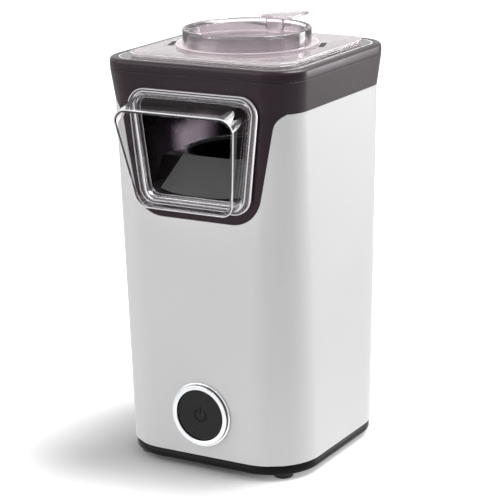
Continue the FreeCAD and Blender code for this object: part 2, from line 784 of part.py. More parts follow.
# Plastic moulding under the lid: deck, round duct over the chamber, and the spout to the front
def make_duct():
    reach = f"(outlet_half_high + {SPARE})"
    corner = "casing_corner_high - collar_wall - fit_gap"
    deck = loft("duct_deck", "XY_Plane", [
        (DECK_LOW, square(f"{DECK_HALF} - collar_wall - fit_gap", corner)),
        (SEAM, square("collar_width_high/2 - collar_wall - fit_gap", corner)),
    ])
    tube = rod("duct_tube", "duct_radius + duct_wall", DUCT_LOW, DECK_LOW)
    shell = prism("spout_shell", "XZ_Plane", "0", SPOUT_FRONT,
                  outlet_outline("spout_wall", "(outlet_corner + spout_wall)"))
    hollow = prism("spout_hollow", "XZ_Plane", "0", f"{SPOUT_FRONT} + {SPARE}",
                   outlet_outline("0", "outlet_corner"))
    bore = rod("duct_bore", "duct_radius", f"{DUCT_LOW} - {SPARE}", f"{SEAM} + {SPARE}")
    under = prism("spout_under", "YZ_Plane", f"-{reach}", reach, [
        (f"-({SPOUT_FRONT} + {SPARE})", f"{SPOUT_FLOOR_FRONT} - spout_wall"),
        (f"-{SPOUT_FRONT}", f"{SPOUT_FLOOR_FRONT} - spout_wall"),
        (f"-{SPOUT_FLOOR_EDGE}", DUCT_LOW),
        (SPARE, DUCT_LOW),
        (SPARE, f"{OUTLET_LOW} - outlet_height"),
        (f"-({SPOUT_FRONT} + {SPARE})", f"{OUTLET_LOW} - outlet_height"),
    ])
    floor = prism("spout_floor", "YZ_Plane", f"-{reach}", reach, [
        (f"-{SPOUT_FRONT}", SPOUT_FLOOR_FRONT),
        (f"-{SPOUT_FRONT}", f"{SPOUT_FLOOR_FRONT} - spout_wall"),
        (f"-{SPOUT_FLOOR_EDGE}", DUCT_LOW),
        ("0", DUCT_LOW),
        ("0", SPOUT_FLOOR_BACK),
        (f"-{SPOUT_FLOOR_EDGE}", SPOUT_FLOOR_BACK),
    ])
    holes = [rod("deck_screw_hole", SCREW_HOLE, f"{DECK_LOW} - {SPARE}", f"{SEAM} + {SPARE}", x, y)
             for x, y in DECK_SCREWS]
    walls = cut("duct_walls", fuse("duct_solids", deck, tube, shell), hollow, bore, under, *holes)
    inner_floor = cut("duct_floor", common("spout_floor_part", floor, shell), bore)
    node("chute_duct", fuse("duct", walls, inner_floor))


# Grey sheet that lies on the spout's sloping floor
def make_ramp():
    reach = f"(ramp_half_low + {SPARE})"
    plate = prism("ramp_plate", "YZ_Plane", f"-{reach}", reach, [
        (f"-{SPOUT_FRONT}", SPOUT_FLOOR_FRONT),
        (f"-{SPOUT_FLOOR_EDGE}", SPOUT_FLOOR_BACK),
        (f"-{SPOUT_FLOOR_EDGE}", f"{SPOUT_FLOOR_BACK} + ramp_thickness"),
        (f"-{SPOUT_FRONT}", f"{SPOUT_FLOOR_FRONT} + ramp_thickness"),
    ])
    shape = prism("ramp_shape", "XY_Plane", f"{OUTLET_LOW} - {SPARE}", OUTLET_TOP, [
        ("-ramp_half_low", f"-{SPOUT_FRONT}"),
        ("ramp_half_low", f"-{SPOUT_FRONT}"),
        ("ramp_half_high", f"-{SPOUT_FLOOR_EDGE}"),
        ("-ramp_half_high", f"-{SPOUT_FLOOR_EDGE}"),
    ])
    node("chute_ramp", common("ramp", plate, shape))


# Spun aluminium pot with leaning air slots near its floor, and its seal
def make_chamber():
    outer = "(chamber_radius + chamber_wall)"
    pot = turned("pot", "XZ_Plane", "0", [
        ("0", CHAMBER_LOW),
        (outer, CHAMBER_LOW, "chamber_bend"),
        (outer, CAN_TOP),
        (f"{outer} + chamber_flange", CAN_TOP),
        (f"{outer} + chamber_flange", CHAMBER_TOP),
        ("chamber_radius", CHAMBER_TOP),
        ("chamber_radius", f"{CHAMBER_LOW} + chamber_wall", "(chamber_bend - chamber_wall)"),
        ("chamber_cone_radius", f"{CHAMBER_LOW} + chamber_wall"),
        ("0", f"{CHAMBER_LOW} + chamber_wall + chamber_cone"),
    ])
    low = f"{CHAMBER_LOW} + chamber_bend + chamber_slot_rise"
    high = f"{low} + chamber_slot_height"
    slot = add_pocket(pot, "XZ_Plane", "chamber_radius - chamber_wall", f"{outer} + chamber_wall", [
        ("-chamber_slot_width/2", low),
        ("chamber_slot_width/2", low),
        ("chamber_slot_width/2 + chamber_slot_lean", high),
        ("-chamber_slot_width/2 + chamber_slot_lean", high),
    ])
    repeat_around(pot, slot, "chamber_slots")
    node("popping_chamber", pot)
    duct_outer = "(duct_radius + duct_wall)"
    seal = turned("seal", "XZ_Plane", "0",
                  ring_profile(f"{duct_outer} - seal_width", duct_outer, CHAMBER_TOP, DUCT_LOW))
    node("chamber_seal", seal)


# Steel can round the chamber, crossed mica boards and the heating wire on them
def make_heater():
    node("heater_can", turned("can", "XZ_Plane", "0", ring_profile(CAN_INNER, CAN_OUTER, CAN_LOW, CAN_TOP)))
    foot_half = f"({SPIGOT_OUTER} - fit_gap)"
    foot_top = f"{SPIGOT_TOP} + board_foot"
    top = f"{SPIGOT_TOP} + board_height"
    middle = f"{SPIGOT_TOP} + board_height/2"
    slot_half = "(board_thickness/2 + shaft_fit)"
    shape = [
        (f"-{foot_half}", SPIGOT_TOP),
        (foot_half, SPIGOT_TOP),
        (foot_half, foot_top),
        ("board_half", foot_top),
        ("board_half", top),
        ("-board_half", top),
        ("-board_half", foot_top),
        (f"-{foot_half}", foot_top),
    ]
    across = (f"-{slot_half}", slot_half)
    for letter, role, slot in (("x", "XZ_Plane", (middle, f"{top} + board_foot")),
                               ("y", "YZ_Plane", (f"{SPIGOT_TOP} - board_foot", middle))):
        board = prism("board_" + letter, role, "-board_thickness/2", "board_thickness/2", shape)
        node("mica_board_" + letter, cut("mica_" + letter, board, block("board_slot", across, across, slot)))
    radius = "(board_half + fit_gap + coil_wire_radius)"
    coil = winding("coil", radius, "coil_pitch", "coil_turns", "coil_wire_radius")
    node("heating_coil", coil, z=f"{foot_top} + fit_gap + coil_wire_radius")


def winding(name, radius, pitch, turns, wire):
    """One unbroken wire wound about the upright axis: half-turn arcs that each climb by half the pitch."""
    def spot(half_turns):
        angle = math.pi * half_turns
        reach = size(radius)
        return FreeCAD.Vector(reach * math.cos(angle), reach * math.sin(angle), size(pitch) * half_turns / 2)

    arcs = []
    for step in range(round(2 * size(turns))):
        arcs.append(Part.Arc(spot(step), spot(step + 0.5), spot(step + 1)).toShape())
    start = arcs[0]
    section = Part.Circle(spot(0), start.tangentAt(start.FirstParameter), size(wire)).toShape()
    item = doc.addObject("Part::Feature", name)
    item.Shape = Part.Wire(arcs).makePipeShell([Part.Wire([section])], True, False)
    return item


def add_circle(sketch, x, y, radius):
    circle = Part.Circle(FreeCAD.Vector(size(x), size(y), 0), FreeCAD.Vector(0, 0, 1), size(radius))
    item = sketch.addGeometry(circle, False)
    round_tie = (Sketcher.Constraint("Radius", item, size(radius)), radius)
    add_ties(sketch, [round_tie] + point_ties(item, 3, x, y))


def add_helix(item, sketch, pitch, height):
    """Sweep the sketch's circle along a helix about the sketch's upright axis."""
    helix = item.newObject("PartDesign::AdditiveHelix", item.Name + "_helix")
    helix.Profile = sketch
    helix.ReferenceAxis = (sketch, ["V_Axis"])
    helix.Mode = "pitch-height-angle"
    helix.setExpression("Pitch", bound(pitch))
    helix.setExpression("Height", bound(height))


# Thermostat on its bracket at the right, thermal fuse in its clip at the left, both on the heater can
def make_heat_guards():
    inner = f"({CAN_OUTER} + fit_gap/2)"
    outer = f"({inner} + bracket_thickness)"
    level = f"({CAN_LOW} + thermostat_rise)"
    z = (f"{level} - bracket_half", f"{level} + bracket_half")
    band = turned("bracket_band", "XZ_Plane", "0", ring_profile(inner, outer, z[0], z[1]))
    window = block("bracket_window", ("0", f"{outer} + {SPARE}"), ("-bracket_half", "bracket_half"), z)
    node("thermostat_bracket", common("bracket", band, window))
    face = f"({outer} + shaft_fit)"
    node("thermostat", group("thermostat_can", [
        rod("thermostat_disc", "thermostat_radius", face, f"{face} + thermostat_depth", "0", level, "x")]))
    clip_wall = "(fuse_radius + shaft_fit + can_wall)"
    place = f"-({CAN_OUTER} + fit_gap/2 + {clip_wall})"
    low = f"({CAN_LOW} + fuse_rise)"
    node("thermal_fuse", group("fuse", [rod("fuse_body", "fuse_radius", low, f"{low} + fuse_length", place)]))
    clip = turned("fuse_clip", "XZ_Plane", "0", ring_profile(
        "fuse_radius + shaft_fit", clip_wall, f"{low} + fuse_length/4", f"{low} + fuse_length*3/4"))
    node("thermal_fuse_clip", clip, place)


# Blower housing on four legs, open to the heater above and to the vents below
def make_blower():
    outer, inner = SPIGOT_OUTER, f"({SPIGOT_OUTER} - spigot_wall)"
    hole = "(bush_radius + fit_gap)"
    bowl = turned("blower_bowl", "XZ_Plane", "0", [
        (hole, BLOWER_LOW),
        (outer, BLOWER_LOW),
        (outer, f"{CAN_LOW} - shoulder_thickness"),
        (f"{outer} + shoulder_width", f"{CAN_LOW} - shoulder_thickness"),
        (f"{outer} + shoulder_width", CAN_LOW),
        (outer, CAN_LOW),
        (outer, SPIGOT_TOP),
        (inner, SPIGOT_TOP),
        (inner, f"{BLOWER_LOW} + blower_floor"),
        (hole, f"{BLOWER_LOW} + blower_floor"),
    ])
    floor_top = f"{BLOWER_LOW} + blower_floor"
    solids = [bowl]
    holes = []
    for x, y in corner_places("leg_offset"):
        solids.append(rod("blower_leg", "leg_radius", LEG_SEAT, floor_top, x, y))
        holes.append(rod("leg_screw_hole", SCREW_GRIP, LEG_SEAT, f"{LEG_SEAT} + screw_bite", x, y))
    count = int(size("inlets"))
    for step in range(count):
        angle = 360.0 * step / count
        x, y = f"inlet_ring*cos({angle})", f"inlet_ring*sin({angle})"
        holes.append(rod("blower_inlet", "inlet_radius", f"{BLOWER_LOW} - {SPARE}",
                         f"{floor_top} + fan_rise", x, y))
    for side in (1, -1):
        y = f"{side}*motor_screw_spread"
        holes.append(rod("motor_screw_hole", SCREW_HOLE, f"{BLOWER_LOW} - {SPARE}",
                         f"{floor_top} + fan_rise", "0", y))
    node("blower_housing", cut("blower", fuse("blower_solids", *solids), *holes))


# Brushed direct-current motor hung under the blower, with its rectifier
def make_motor():
    hole = "(bush_radius + shaft_fit)"
    inner = "(motor_radius - motor_wall)"
    shell = turned("motor_shell", "XZ_Plane", "0", [
        (inner, MOTOR_LOW),
        ("motor_radius", MOTOR_LOW),
        ("motor_radius", BLOWER_LOW),
        (hole, BLOWER_LOW),
        (hole, f"{BLOWER_LOW} - motor_wall"),
        (inner, f"{BLOWER_LOW} - motor_wall"),
    ])
    holes = [rod("motor_thread", SCREW_GRIP, f"{BLOWER_LOW} - motor_wall*2", f"{BLOWER_LOW} + motor_wall",
                 "0", f"{side}*motor_screw_spread") for side in (1, -1)]
    node("motor_can", cut("motor_can_shape", shell, *holes))
    end_profile = ring_profile(hole, "motor_radius", MOTOR_BASE, MOTOR_LOW)
    node("motor_end_cap", turned("end_cap", "XZ_Plane", "0", end_profile))
    node("motor_bush_upper", turned("upper_bush", "XZ_Plane", "0", ring_profile(
        SHAFT_BORE, "bush_radius", f"{BLOWER_LOW} - bush_length", f"{BLOWER_LOW} + blower_floor")))
    node("motor_bush_lower", turned("lower_bush", "XZ_Plane", "0", ring_profile(
        SHAFT_BORE, "bush_radius", MOTOR_BASE, f"{MOTOR_BASE} + bush_length")))
    magnet_inner = "(armature_radius + air_gap)"
    magnet_outer = f"({magnet_inner} + magnet_thickness)"
    magnet_profile = ring_profile(magnet_inner, magnet_outer, ARMATURE_LOW, ARMATURE_TOP)
    ring = turned("magnet_ring", "XZ_Plane", "0", magnet_profile)
    gap = block("magnet_gap", ("-brush_width", "brush_width"), ("-motor_radius", "motor_radius"),
                (f"{ARMATURE_LOW} - motor_wall", f"{ARMATURE_TOP} + motor_wall"))
    node("motor_magnets", cut("magnets", ring, gap))
    half = "(brush_width/2)"
    level = f"({COMMUTATOR_LOW} + commutator_length/2)"
    brushes = []
    for side in (1, -1):
        ends = ("commutator_radius + shaft_fit", f"{inner} - fit_gap")
        x = ends if side == 1 else (f"-({ends[1]})", f"-({ends[0]})")
        brushes.append(block("brush", x, (f"-{half}", half), (f"{level} - {half}", f"{level} + {half}")))
    node("motor_brushes", group("brushes", brushes))
    board_low = f"({MOTOR_BASE} - rectifier_thickness)"
    node("rectifier_board", turned("rectifier", "XZ_Plane", "0", ring_profile(
        "bush_radius", "motor_radius", board_low, MOTOR_BASE)))
    diodes = []
    diode_level = f"{board_low} - diode_radius - shaft_fit"
    for x, y in corner_places("(motor_radius/2 + diode_radius/2)"):
        diodes.append(rod("diode", "diode_radius", f"{x} - diode_length/2", f"{x} + diode_length/2",
                          y, diode_level, "x"))
    node("rectifier_diodes", group("diodes", diodes))


# Everything that turns: shaft, armature, commutator, fan and the clip that holds the fan
def make_rotor():
    clip_top = f"({FAN_TOP} + clip_ring_height)"
    node("motor_shaft", group("shaft", [
        rod("shaft_rod", "shaft_radius", MOTOR_BASE, f"{clip_top} + clip_ring_height")]))
    node("armature_core", turned("core", "XZ_Plane", "0", ring_profile(
        SHAFT_BORE, "armature_radius", ARMATURE_LOW, ARMATURE_TOP)))
    winding_radius = "(armature_radius - magnet_thickness/2)"
    ends = (
        (f"{ARMATURE_LOW} - winding_height", ARMATURE_LOW),
        (ARMATURE_TOP, f"{ARMATURE_TOP} + winding_height"),
    )
    windings = [turned("winding", "XZ_Plane", "0",
                       ring_profile("commutator_radius", winding_radius, low, high))
                for low, high in ends]
    node("armature_windings", group("windings", windings))
    node("commutator", turned("commutator_ring", "XZ_Plane", "0", ring_profile(
        SHAFT_BORE, "commutator_radius", COMMUTATOR_LOW, COMMUTATOR_TOP)))
    disc_low = f"({BLADE_LOW} + blade_height)"
    fan = turned("fan", "XZ_Plane", "0", [
        (SHAFT_BORE, BLADE_LOW),
        ("hub_radius", BLADE_LOW),
        ("hub_radius", disc_low),
        ("fan_radius", disc_low),
        ("fan_radius", FAN_TOP),
        (SHAFT_BORE, FAN_TOP),
    ])
    blade_tip = "(fan_radius - blade_thickness)"
    blade = add_pad(fan, "XY_Plane", BLADE_LOW, disc_low, [
        ("blade_inner", "-blade_thickness/2"),
        (blade_tip, "blade_sweep - blade_thickness/2"),
        (blade_tip, "blade_sweep + blade_thickness/2"),
        ("blade_inner", "blade_thickness/2"),
    ])
    repeat_around(fan, blade, "fan_blades")
    node("blower_fan", fan)
    node("fan_clip", turned("shaft_clip", "XZ_Plane", "0", ring_profile(
        SHAFT_BORE, "hub_radius - blade_thickness", FAN_TOP, clip_top)))


# Chrome ring through the casing, its nut, and the switch held behind it
def make_switch():
    ring = turned("chrome_ring", "XY_Plane", BUTTON_Z, [
        (SLEEVE_INNER, f"-({BUTTON_FACE} + ring_proud)", "shaft_fit + button_edge"),
        ("ring_outer", f"-({BUTTON_FACE} + ring_proud)", "ring_round"),
        ("ring_outer", f"-{BUTTON_FACE}"),
        (SLEEVE_OUTER, f"-{BUTTON_FACE}"),
        (SLEEVE_OUTER, f"-{SLEEVE_END}"),
        (SLEEVE_INNER, f"-{SLEEVE_END}"),
    ])
    node("button_ring", ring)
    nut_front = f"({WALL_AT_BUTTON} - casing_wall - {LEAN}*{NUT_RADIUS} - fit_gap/2)"
    node("button_ring_nut", turned("ring_nut", "XY_Plane", BUTTON_Z, ring_profile(
        NUT_BORE, NUT_RADIUS, f"-{nut_front}", f"-({nut_front} - nut_thickness)")))
    skirt = f"({SLEEVE_END} + holder_thickness*2)"
    node("switch_holder", turned("holder", "XY_Plane", BUTTON_Z, [
        ("stem_radius + fit_gap", f"-{SLEEVE_END}"),
        (NUT_BORE, f"-{SLEEVE_END}"),
        (NUT_BORE, f"-{skirt}"),
        (f"{NUT_BORE} + holder_thickness", f"-{skirt}"),
        (f"{NUT_BORE} + holder_thickness", f"-{SWITCH_FRONT}"),
        ("stem_radius + fit_gap", f"-{SWITCH_FRONT}"),
    ]))
    box = block("switch_box", ("-switch_half", "switch_half"), (f"-{SWITCH_FRONT}", f"-{SWITCH_BACK}"),
                (f"{BUTTON_Z} - switch_half", f"{BUTTON_Z} + switch_half"))
    bore_end = f"-({STEM_END} - plunger_length - button_travel - fit_gap)"
    bore = rod("switch_bore", "plunger_radius + fit_gap/2", f"-({SWITCH_FRONT} + {SPARE})", bore_end,
               "0", BUTTON_Z, "y")
    node("switch_body", cut("switch", box, bore))
    blades = []
    for side in (1, -1):
        middle = f"({side}*switch_half/2)"
        x = (f"{middle} - terminal_thickness/2", f"{middle} + terminal_thickness/2")
        z = (f"{BUTTON_Z} - terminal_half", f"{BUTTON_Z} + terminal_half")
        blades.append(block("terminal", x, (f"-{SWITCH_BACK}", f"-({SWITCH_BACK} - terminal_length)"), z))
    node("switch_terminals", group("terminals", blades))


# Round push button with an engraved power mark, its plunger and return spring
def make_button():
    cap = turned("button_cap_body", "XY_Plane", BUTTON_Z, [
        ("0", f"-{CAP_FRONT}"),
        ("button_radius", f"-{CAP_FRONT}", "button_edge"),
        ("button_radius", f"-{CAP_BACK}"),
        ("stem_radius", f"-{CAP_BACK}"),
        ("stem_radius", f"-{STEM_END}"),
        ("0", f"-{STEM_END}"),
    ])
    deep = (f"-({CAP_FRONT} + mark_depth)", f"-({CAP_FRONT} - mark_depth)")
    arc = turned("mark_ring", "XY_Plane", BUTTON_Z,
                 ring_profile("mark_radius - mark_line", "mark_radius", deep[0], deep[1]))
    top = f"({BUTTON_Z} + mark_radius + mark_line)"
    gap = block("mark_gap", ("-2*mark_line", "2*mark_line"), deep, (BUTTON_Z, top))
    bar = block("mark_bar", ("-mark_line/2", "mark_line/2"), deep, (f"{BUTTON_Z} + mark_line", top))
    node("power_button", cut("button", cap, cut("mark_arc", arc, gap), bar))
    plunger_end = f"-({STEM_END} - plunger_length)"
    node("switch_plunger", group("plunger", [
        rod("plunger_rod", "plunger_radius", f"-{STEM_END}", plunger_end, "0", BUTTON_Z, "y")]))
    spring = new_body("spring")
    sketch = new_sketch(spring, "XY_Plane", BUTTON_Z)
    add_circle(sketch, "spring_radius", f"-({CAP_BACK} - spring_wire - fit_gap)", "spring_wire")
    travel = f"({CAP_BACK} - {SLEEVE_END} - 2*spring_wire - 2*fit_gap)"
    add_helix(spring, sketch, f"{travel}/spring_turns", travel)
    node("button_spring", spring)


# Bushing where the mains lead enters at the back, and its nut
def make_gland():
    loose = f"({GLAND_BARREL} + fit_gap/2)"
    nut_radius = f"({loose} + gland_flange)"
    back = f"({WALL_AT_GLAND} - casing_wall - {LEAN}*{nut_radius} - fit_gap/2)"
    mouth = "(gland_bore + gland_mouth)"
    bush = turned("gland", "XY_Plane", GLAND_Z, [
        (mouth, f"{GLAND_FACE} + gland_flange_thickness"),
        (GLAND_RADIUS, f"{GLAND_FACE} + gland_flange_thickness"),
        (GLAND_RADIUS, GLAND_FACE),
        (GLAND_BARREL, GLAND_FACE),
        (GLAND_BARREL, f"{GLAND_FACE} - gland_length"),
        ("gland_bore", f"{GLAND_FACE} - gland_length"),
        ("gland_bore", f"{back} - gland_mouth"),
        (mouth, back),
    ])
    node("cord_gland", bush)
    node("cord_gland_nut", turned("gland_nut", "XY_Plane", GLAND_Z, ring_profile(
        loose, nut_radius, f"{back} - nut_thickness", back)))


def screw(name, x, y, head, seat, tip):
    """A screw with its head between head and seat and its shank from seat to tip, whichever way it points."""
    low_head, high_head = (head, seat) if size(head) < size(seat) else (seat, head)
    low_tip, high_tip = (tip, seat) if size(tip) < size(seat) else (seat, tip)
    return fuse(name, rod(name + "_head", "screw_head_radius", low_head, high_head, x, y),
                rod(name + "_shank", "screw_radius", low_tip, high_tip, x, y))


# The screws, each kind as one group
def make_screws():
    head = f"({HEAD_SEAT} - screw_head_height)"
    node("casing_screws", group("casing_screw_set", [
        screw("casing_screw", x, y, head, HEAD_SEAT, f"({LIP_TOP} + screw_bite - screw_room)")
        for x, y in corner_places(FOOT_PLACE)]))
    node("leg_screws", group("leg_screw_set", [
        screw("leg_screw", x, y, head, HEAD_SEAT, f"({LEG_SEAT} + screw_bite - screw_room)")
        for x, y in corner_places("leg_offset")]))
    floor_top = f"({BLOWER_LOW} + blower_floor)"
    node("motor_screws", group("motor_screw_set", [
        screw("motor_screw", "0", f"{side}*motor_screw_spread",
              f"({floor_top} + screw_head_height)", floor_top,
              f"({BLOWER_LOW} - motor_wall)") for side in (1, -1)]))
    node("deck_screws", group("deck_screw_set", [
        screw("deck_screw", x, y, f"({DECK_LOW} - screw_head_height)", DECK_LOW,
              f"({SEAM} + rim_bite - screw_room)")
        for x, y in DECK_SCREWS]))


# Clear lid: flange, raised plateau, the ring that holds the cup, and two slots
def make_lid():
    flange = prism("lid_flange", "XY_Plane", LID_SEAT, f"{LID_SEAT} + lid_wall",
                   square(LID_HALF, "lid_corner"))
    plateau = prism("lid_plateau", "XY_Plane", LID_SEAT, PLATEAU_TOP,
                    square("plateau_half", "plateau_corner"))
    round_level(plateau, PLATEAU_TOP, "plateau_round")
    hollow = prism("lid_hollow", "XY_Plane", f"{LID_SEAT} - lid_wall", f"{PLATEAU_TOP} - lid_wall",
                   square("plateau_half - lid_wall", "plateau_corner - lid_wall"))
    plate = cut("lid_plate", fuse("lid_solids", flange, plateau), hollow)
    tube = rod("lid_ring", "ring_radius", SKIRT_LOW, RING_TOP)
    inner = "(ring_radius - ring_wall)"
    bore = rod("lid_bore", inner, CUP_SEAT, f"{RING_TOP} + ring_height")
    port = rod("lid_port", f"{inner} - cup_ledge", f"{SKIRT_LOW} - ring_height", f"{CUP_SEAT} + ring_height")
    slots = []
    for turn in ("0", "180"):
        low, high = "lid_slot_radius - lid_slot_width/2", "lid_slot_radius + lid_slot_width/2"
        slot_low = f"{PLATEAU_TOP} - lid_wall - ring_height"
        slot_corner = f"lid_slot_width*{SLOT_ROUND}"
        slot = prism("lid_slot", "XY_Plane", slot_low, f"{PLATEAU_TOP} + ring_height", [
            (low, "-lid_slot_length/2", slot_corner),
            (high, "-lid_slot_length/2", slot_corner),
            (high, "lid_slot_length/2", slot_corner),
            (low, "lid_slot_length/2", slot_corner),
        ])
        slot.Placement = FreeCAD.Placement(FreeCAD.Vector(), FreeCAD.Rotation(FreeCAD.Vector(0, 0, 1), 1))
        slot.setExpression("Placement.Rotation.Angle", bound(f"lid_slot_angle + {turn}"))
        slots.append(slot)
    node("lid", cut("lid_shape", fuse("lid_with_ring", plate, tube), bore, port, *slots))


# Clear measuring cup in the lid's ring, with a tab handle over the ring at the back
def make_cup():
    low_radius = f"({CUP_TOP_RADIUS} - cup_taper)"
    bowl = turned("cup_bowl", "XZ_Plane", "0", [
        ("0", CUP_SEAT),
        (low_radius, CUP_SEAT, "(cup_wall + shaft_fit)"),
        (CUP_TOP_RADIUS, CUP_RIM),
        (f"{CUP_TOP_RADIUS} - cup_wall", CUP_RIM),
        (f"{low_radius} - cup_wall", f"{CUP_SEAT} + cup_wall"),
        ("0", f"{CUP_SEAT} + cup_wall"),
    ])
    neck_inner = f"({CUP_TOP_RADIUS} - cup_wall*2)"
    neck_outer = f"(sqrt({CUP_TOP_RADIUS}^2 - tab_neck_half^2))"
    tab_top = f"{TAB_LOW} + tab_thickness"
    neck = block("tab_neck", ("-tab_neck_half", "tab_neck_half"), (neck_inner, neck_outer),
                 (f"{RING_TOP} - tab_neck_depth", tab_top))
    tab = prism("tab_plate", "XY_Plane", TAB_LOW, tab_top, [
        ("-tab_half", neck_inner),
        ("tab_half", neck_inner),
        ("tab_half", "tab_tip", "tab_corner"),
        ("-tab_half", "tab_tip", "tab_corner"),
    ])
    node("measuring_cup", fuse("cup", bowl, neck, tab))


def hood_outline(distance, shrink):
    """The visor hood's outline at a distance in front of the collar, shrunk by its wall for the inside."""
    share = f"(({distance})/visor_reach)"
    top = f"{OUTLET_TOP} + visor_base_rise - (visor_base_rise + visor_front_drop)*{share} - ({shrink})"
    low = f"{OUTLET_LOW} - visor_base_drop - (visor_front_low - visor_base_drop)*{share} + ({shrink})"
    base_high, base_low = "(outlet_half_high + visor_base_spread)", "(outlet_half_low + visor_base_spread)"
    high_half = f"({base_high} + (visor_front_half_high - {base_high})*{share} - ({shrink}))"
    low_half = f"({base_low} + (visor_front_half_low - {base_low})*{share} - ({shrink}))"
    corner = f"(visor_corner - ({shrink}))"
    return [
        (f"-{low_half}", low, corner),
        (low_half, low, corner),
        (high_half, top, corner),
        (f"-{high_half}", top, corner),
    ]


# Clear hood that clips into the outlet, with a slanted front edge
def make_visor():
    far = f"visor_reach + {SPARE}"
    flange = prism("visor_flange", "XZ_Plane", FRONT, f"{FRONT} + flange_thickness",
                   outlet_outline("flange_margin", "flange_corner"))
    spigot_end = "casing_width_high/2 - casing_wall"
    spigot = prism("visor_spigot", "XZ_Plane", spigot_end, f"{FRONT} + flange_thickness",
                   outlet_outline("-fit_gap", "(outlet_corner - fit_gap)"))
    hood = loft("visor_hood", "XZ_Plane", [
        (FRONT, hood_outline("0", "0")),
        (f"{FRONT} + {far}", hood_outline(far, "0")),
    ])
    inside = loft("visor_inside", "XZ_Plane", [
        (f"{FRONT} + flange_thickness", hood_outline("flange_thickness", "visor_wall")),
        (f"{FRONT} + {far} + {SPARE}", hood_outline(f"{far} + {SPARE}", "visor_wall")),
    ])
    hole = prism("visor_hole", "XZ_Plane", "duct_radius", f"{FRONT} + flange_thickness",
                 outlet_outline("-fit_gap - visor_wall", "(outlet_corner - fit_gap - visor_wall)"))
    top = f"({OUTLET_TOP} - visor_front_drop)"
    low = f"({OUTLET_LOW} - visor_front_low)"
    lean = f"((visor_reach - visor_reach_low)/({top} - {low}))"
    reach = f"(outlet_half_high + flange_margin + {SPARE})"
    high_y = f"-({FRONT} + visor_reach + {lean}*visor_reach)"
    low_y = f"-({FRONT} + visor_reach_low - {lean}*visor_reach)"
    away = f"-({FRONT} + 3*visor_reach)"
    front = prism("visor_front", "YZ_Plane", f"-{reach}", reach, [
        (high_y, f"{top} + visor_reach"),
        (away, f"{top} + visor_reach"),
        (away, f"{low} - visor_reach"),
        (low_y, f"{low} - visor_reach"),
    ])
    clips = clip_boxes("visor_clip", "0", f"{FRONT} - clip_reach", f"{FRONT} + flange_thickness/2")
    node("chute_visor", cut("visor", fuse("visor_solids", flange, spigot, hood, *clips), hole, inside, front))


def check_document():
    """Stop if any object failed or any sub-part has no valid solid."""
    failed = [item.Name for item in doc.Objects if {"Invalid", "Error"} & set(item.State)]
    if failed:
        raise RuntimeError("failed objects: " + ", ".join(failed))
    for item in nodes:
        if item.Shape.isNull() or not item.Shape.isValid() or not item.Shape.Solids:
            raise RuntimeError("no valid solid: " + item.Label)


make_collar(make_casing())
make_rim()
make_base()
make_feet()
make_duct()
make_ramp()
make_chamber()
make_heater()
make_heat_guards()
make_blower()
make_motor()
make_rotor()
make_switch()
make_button()
make_gland()
make_screws()
make_lid()
make_cup()
make_visor()
doc.recompute()
check_document()
os.makedirs("parts", exist_ok=True)
for item in nodes:
    item.Shape.exportStep("parts/%s.step" % item.Label)
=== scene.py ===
import math

import bmesh
import bpy
import numpy as np
from mathutils import Matrix, Vector


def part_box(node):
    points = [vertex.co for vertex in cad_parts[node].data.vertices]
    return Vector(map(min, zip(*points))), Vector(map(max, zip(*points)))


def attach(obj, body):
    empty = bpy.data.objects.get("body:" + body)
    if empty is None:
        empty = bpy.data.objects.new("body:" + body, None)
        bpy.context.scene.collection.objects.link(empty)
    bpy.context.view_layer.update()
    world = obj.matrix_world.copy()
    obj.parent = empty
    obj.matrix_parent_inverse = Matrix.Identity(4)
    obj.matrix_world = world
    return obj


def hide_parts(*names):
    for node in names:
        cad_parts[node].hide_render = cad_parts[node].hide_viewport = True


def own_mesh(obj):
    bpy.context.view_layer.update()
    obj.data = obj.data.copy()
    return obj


# Hot-air popcorn maker: a white satin tower with a black collar, clear lid, cup and chute visor.
# Sizes are in millimetres, about the tower's axis, and become metres when a mesh is made.

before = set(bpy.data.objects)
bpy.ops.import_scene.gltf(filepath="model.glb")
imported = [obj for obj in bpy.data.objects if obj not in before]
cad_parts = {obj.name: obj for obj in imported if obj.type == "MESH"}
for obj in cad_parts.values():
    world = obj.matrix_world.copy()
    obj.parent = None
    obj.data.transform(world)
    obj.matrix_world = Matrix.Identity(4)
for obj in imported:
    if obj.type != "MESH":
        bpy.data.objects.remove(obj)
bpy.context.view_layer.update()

MM = 0.001


def span(node):
    """A node's lowest and highest corners in millimetres."""
    low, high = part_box(node)
    return np.array(low) / MM, np.array(high) / MM


# Levels and widths read from the frame
casing_low, casing_high = span("outer_casing")
collar_low, collar_high = span("top_collar")
rim_low, rim_high = span("top_rim")
lid_low, lid_high = span("lid")
cup_low, cup_high = span("measuring_cup")
visor_low = span("chute_visor")[0]
ring_low, ring_high = span("button_ring")
button_low, button_high = span("power_button")
ramp_low, ramp_high = span("chute_ramp")
gland_low, gland_high = span("cord_gland")

AXIS_Y = (rim_low[1] + rim_high[1]) / 2
CASING_LOW = casing_low[2]
CASING_TOP = casing_high[2]
SEAM = collar_high[2]
RIM_TOP = rim_high[2]
CASING_HALF_HIGH = casing_high[0]
CASING_TAPER = 0.7
CASING_HALF_LOW = CASING_HALF_HIGH - CASING_TAPER
COLLAR_HALF = rim_high[0]

# Casing, collar and bib
CASING_CORNER_LOW = 36.8
CASING_CORNER_HIGH = 24.1
CASING_WALL = 2.2
BIB_HALF_HIGH = 60.8
BIB_HALF_LOW = 46.4
BIB_HEIGHT = CASING_TOP - collar_low[2]
BIB_CORNER = 23.0
BIB_SHOULDER = 13.5
SHOULDER_LIFT = 0.8
PANEL_GAP = 0.25
FRONT_HALF = 66.0
CASING_EDGE = 0.5
COLLAR_WALL = 3.2
COLLAR_EDGE = 0.4

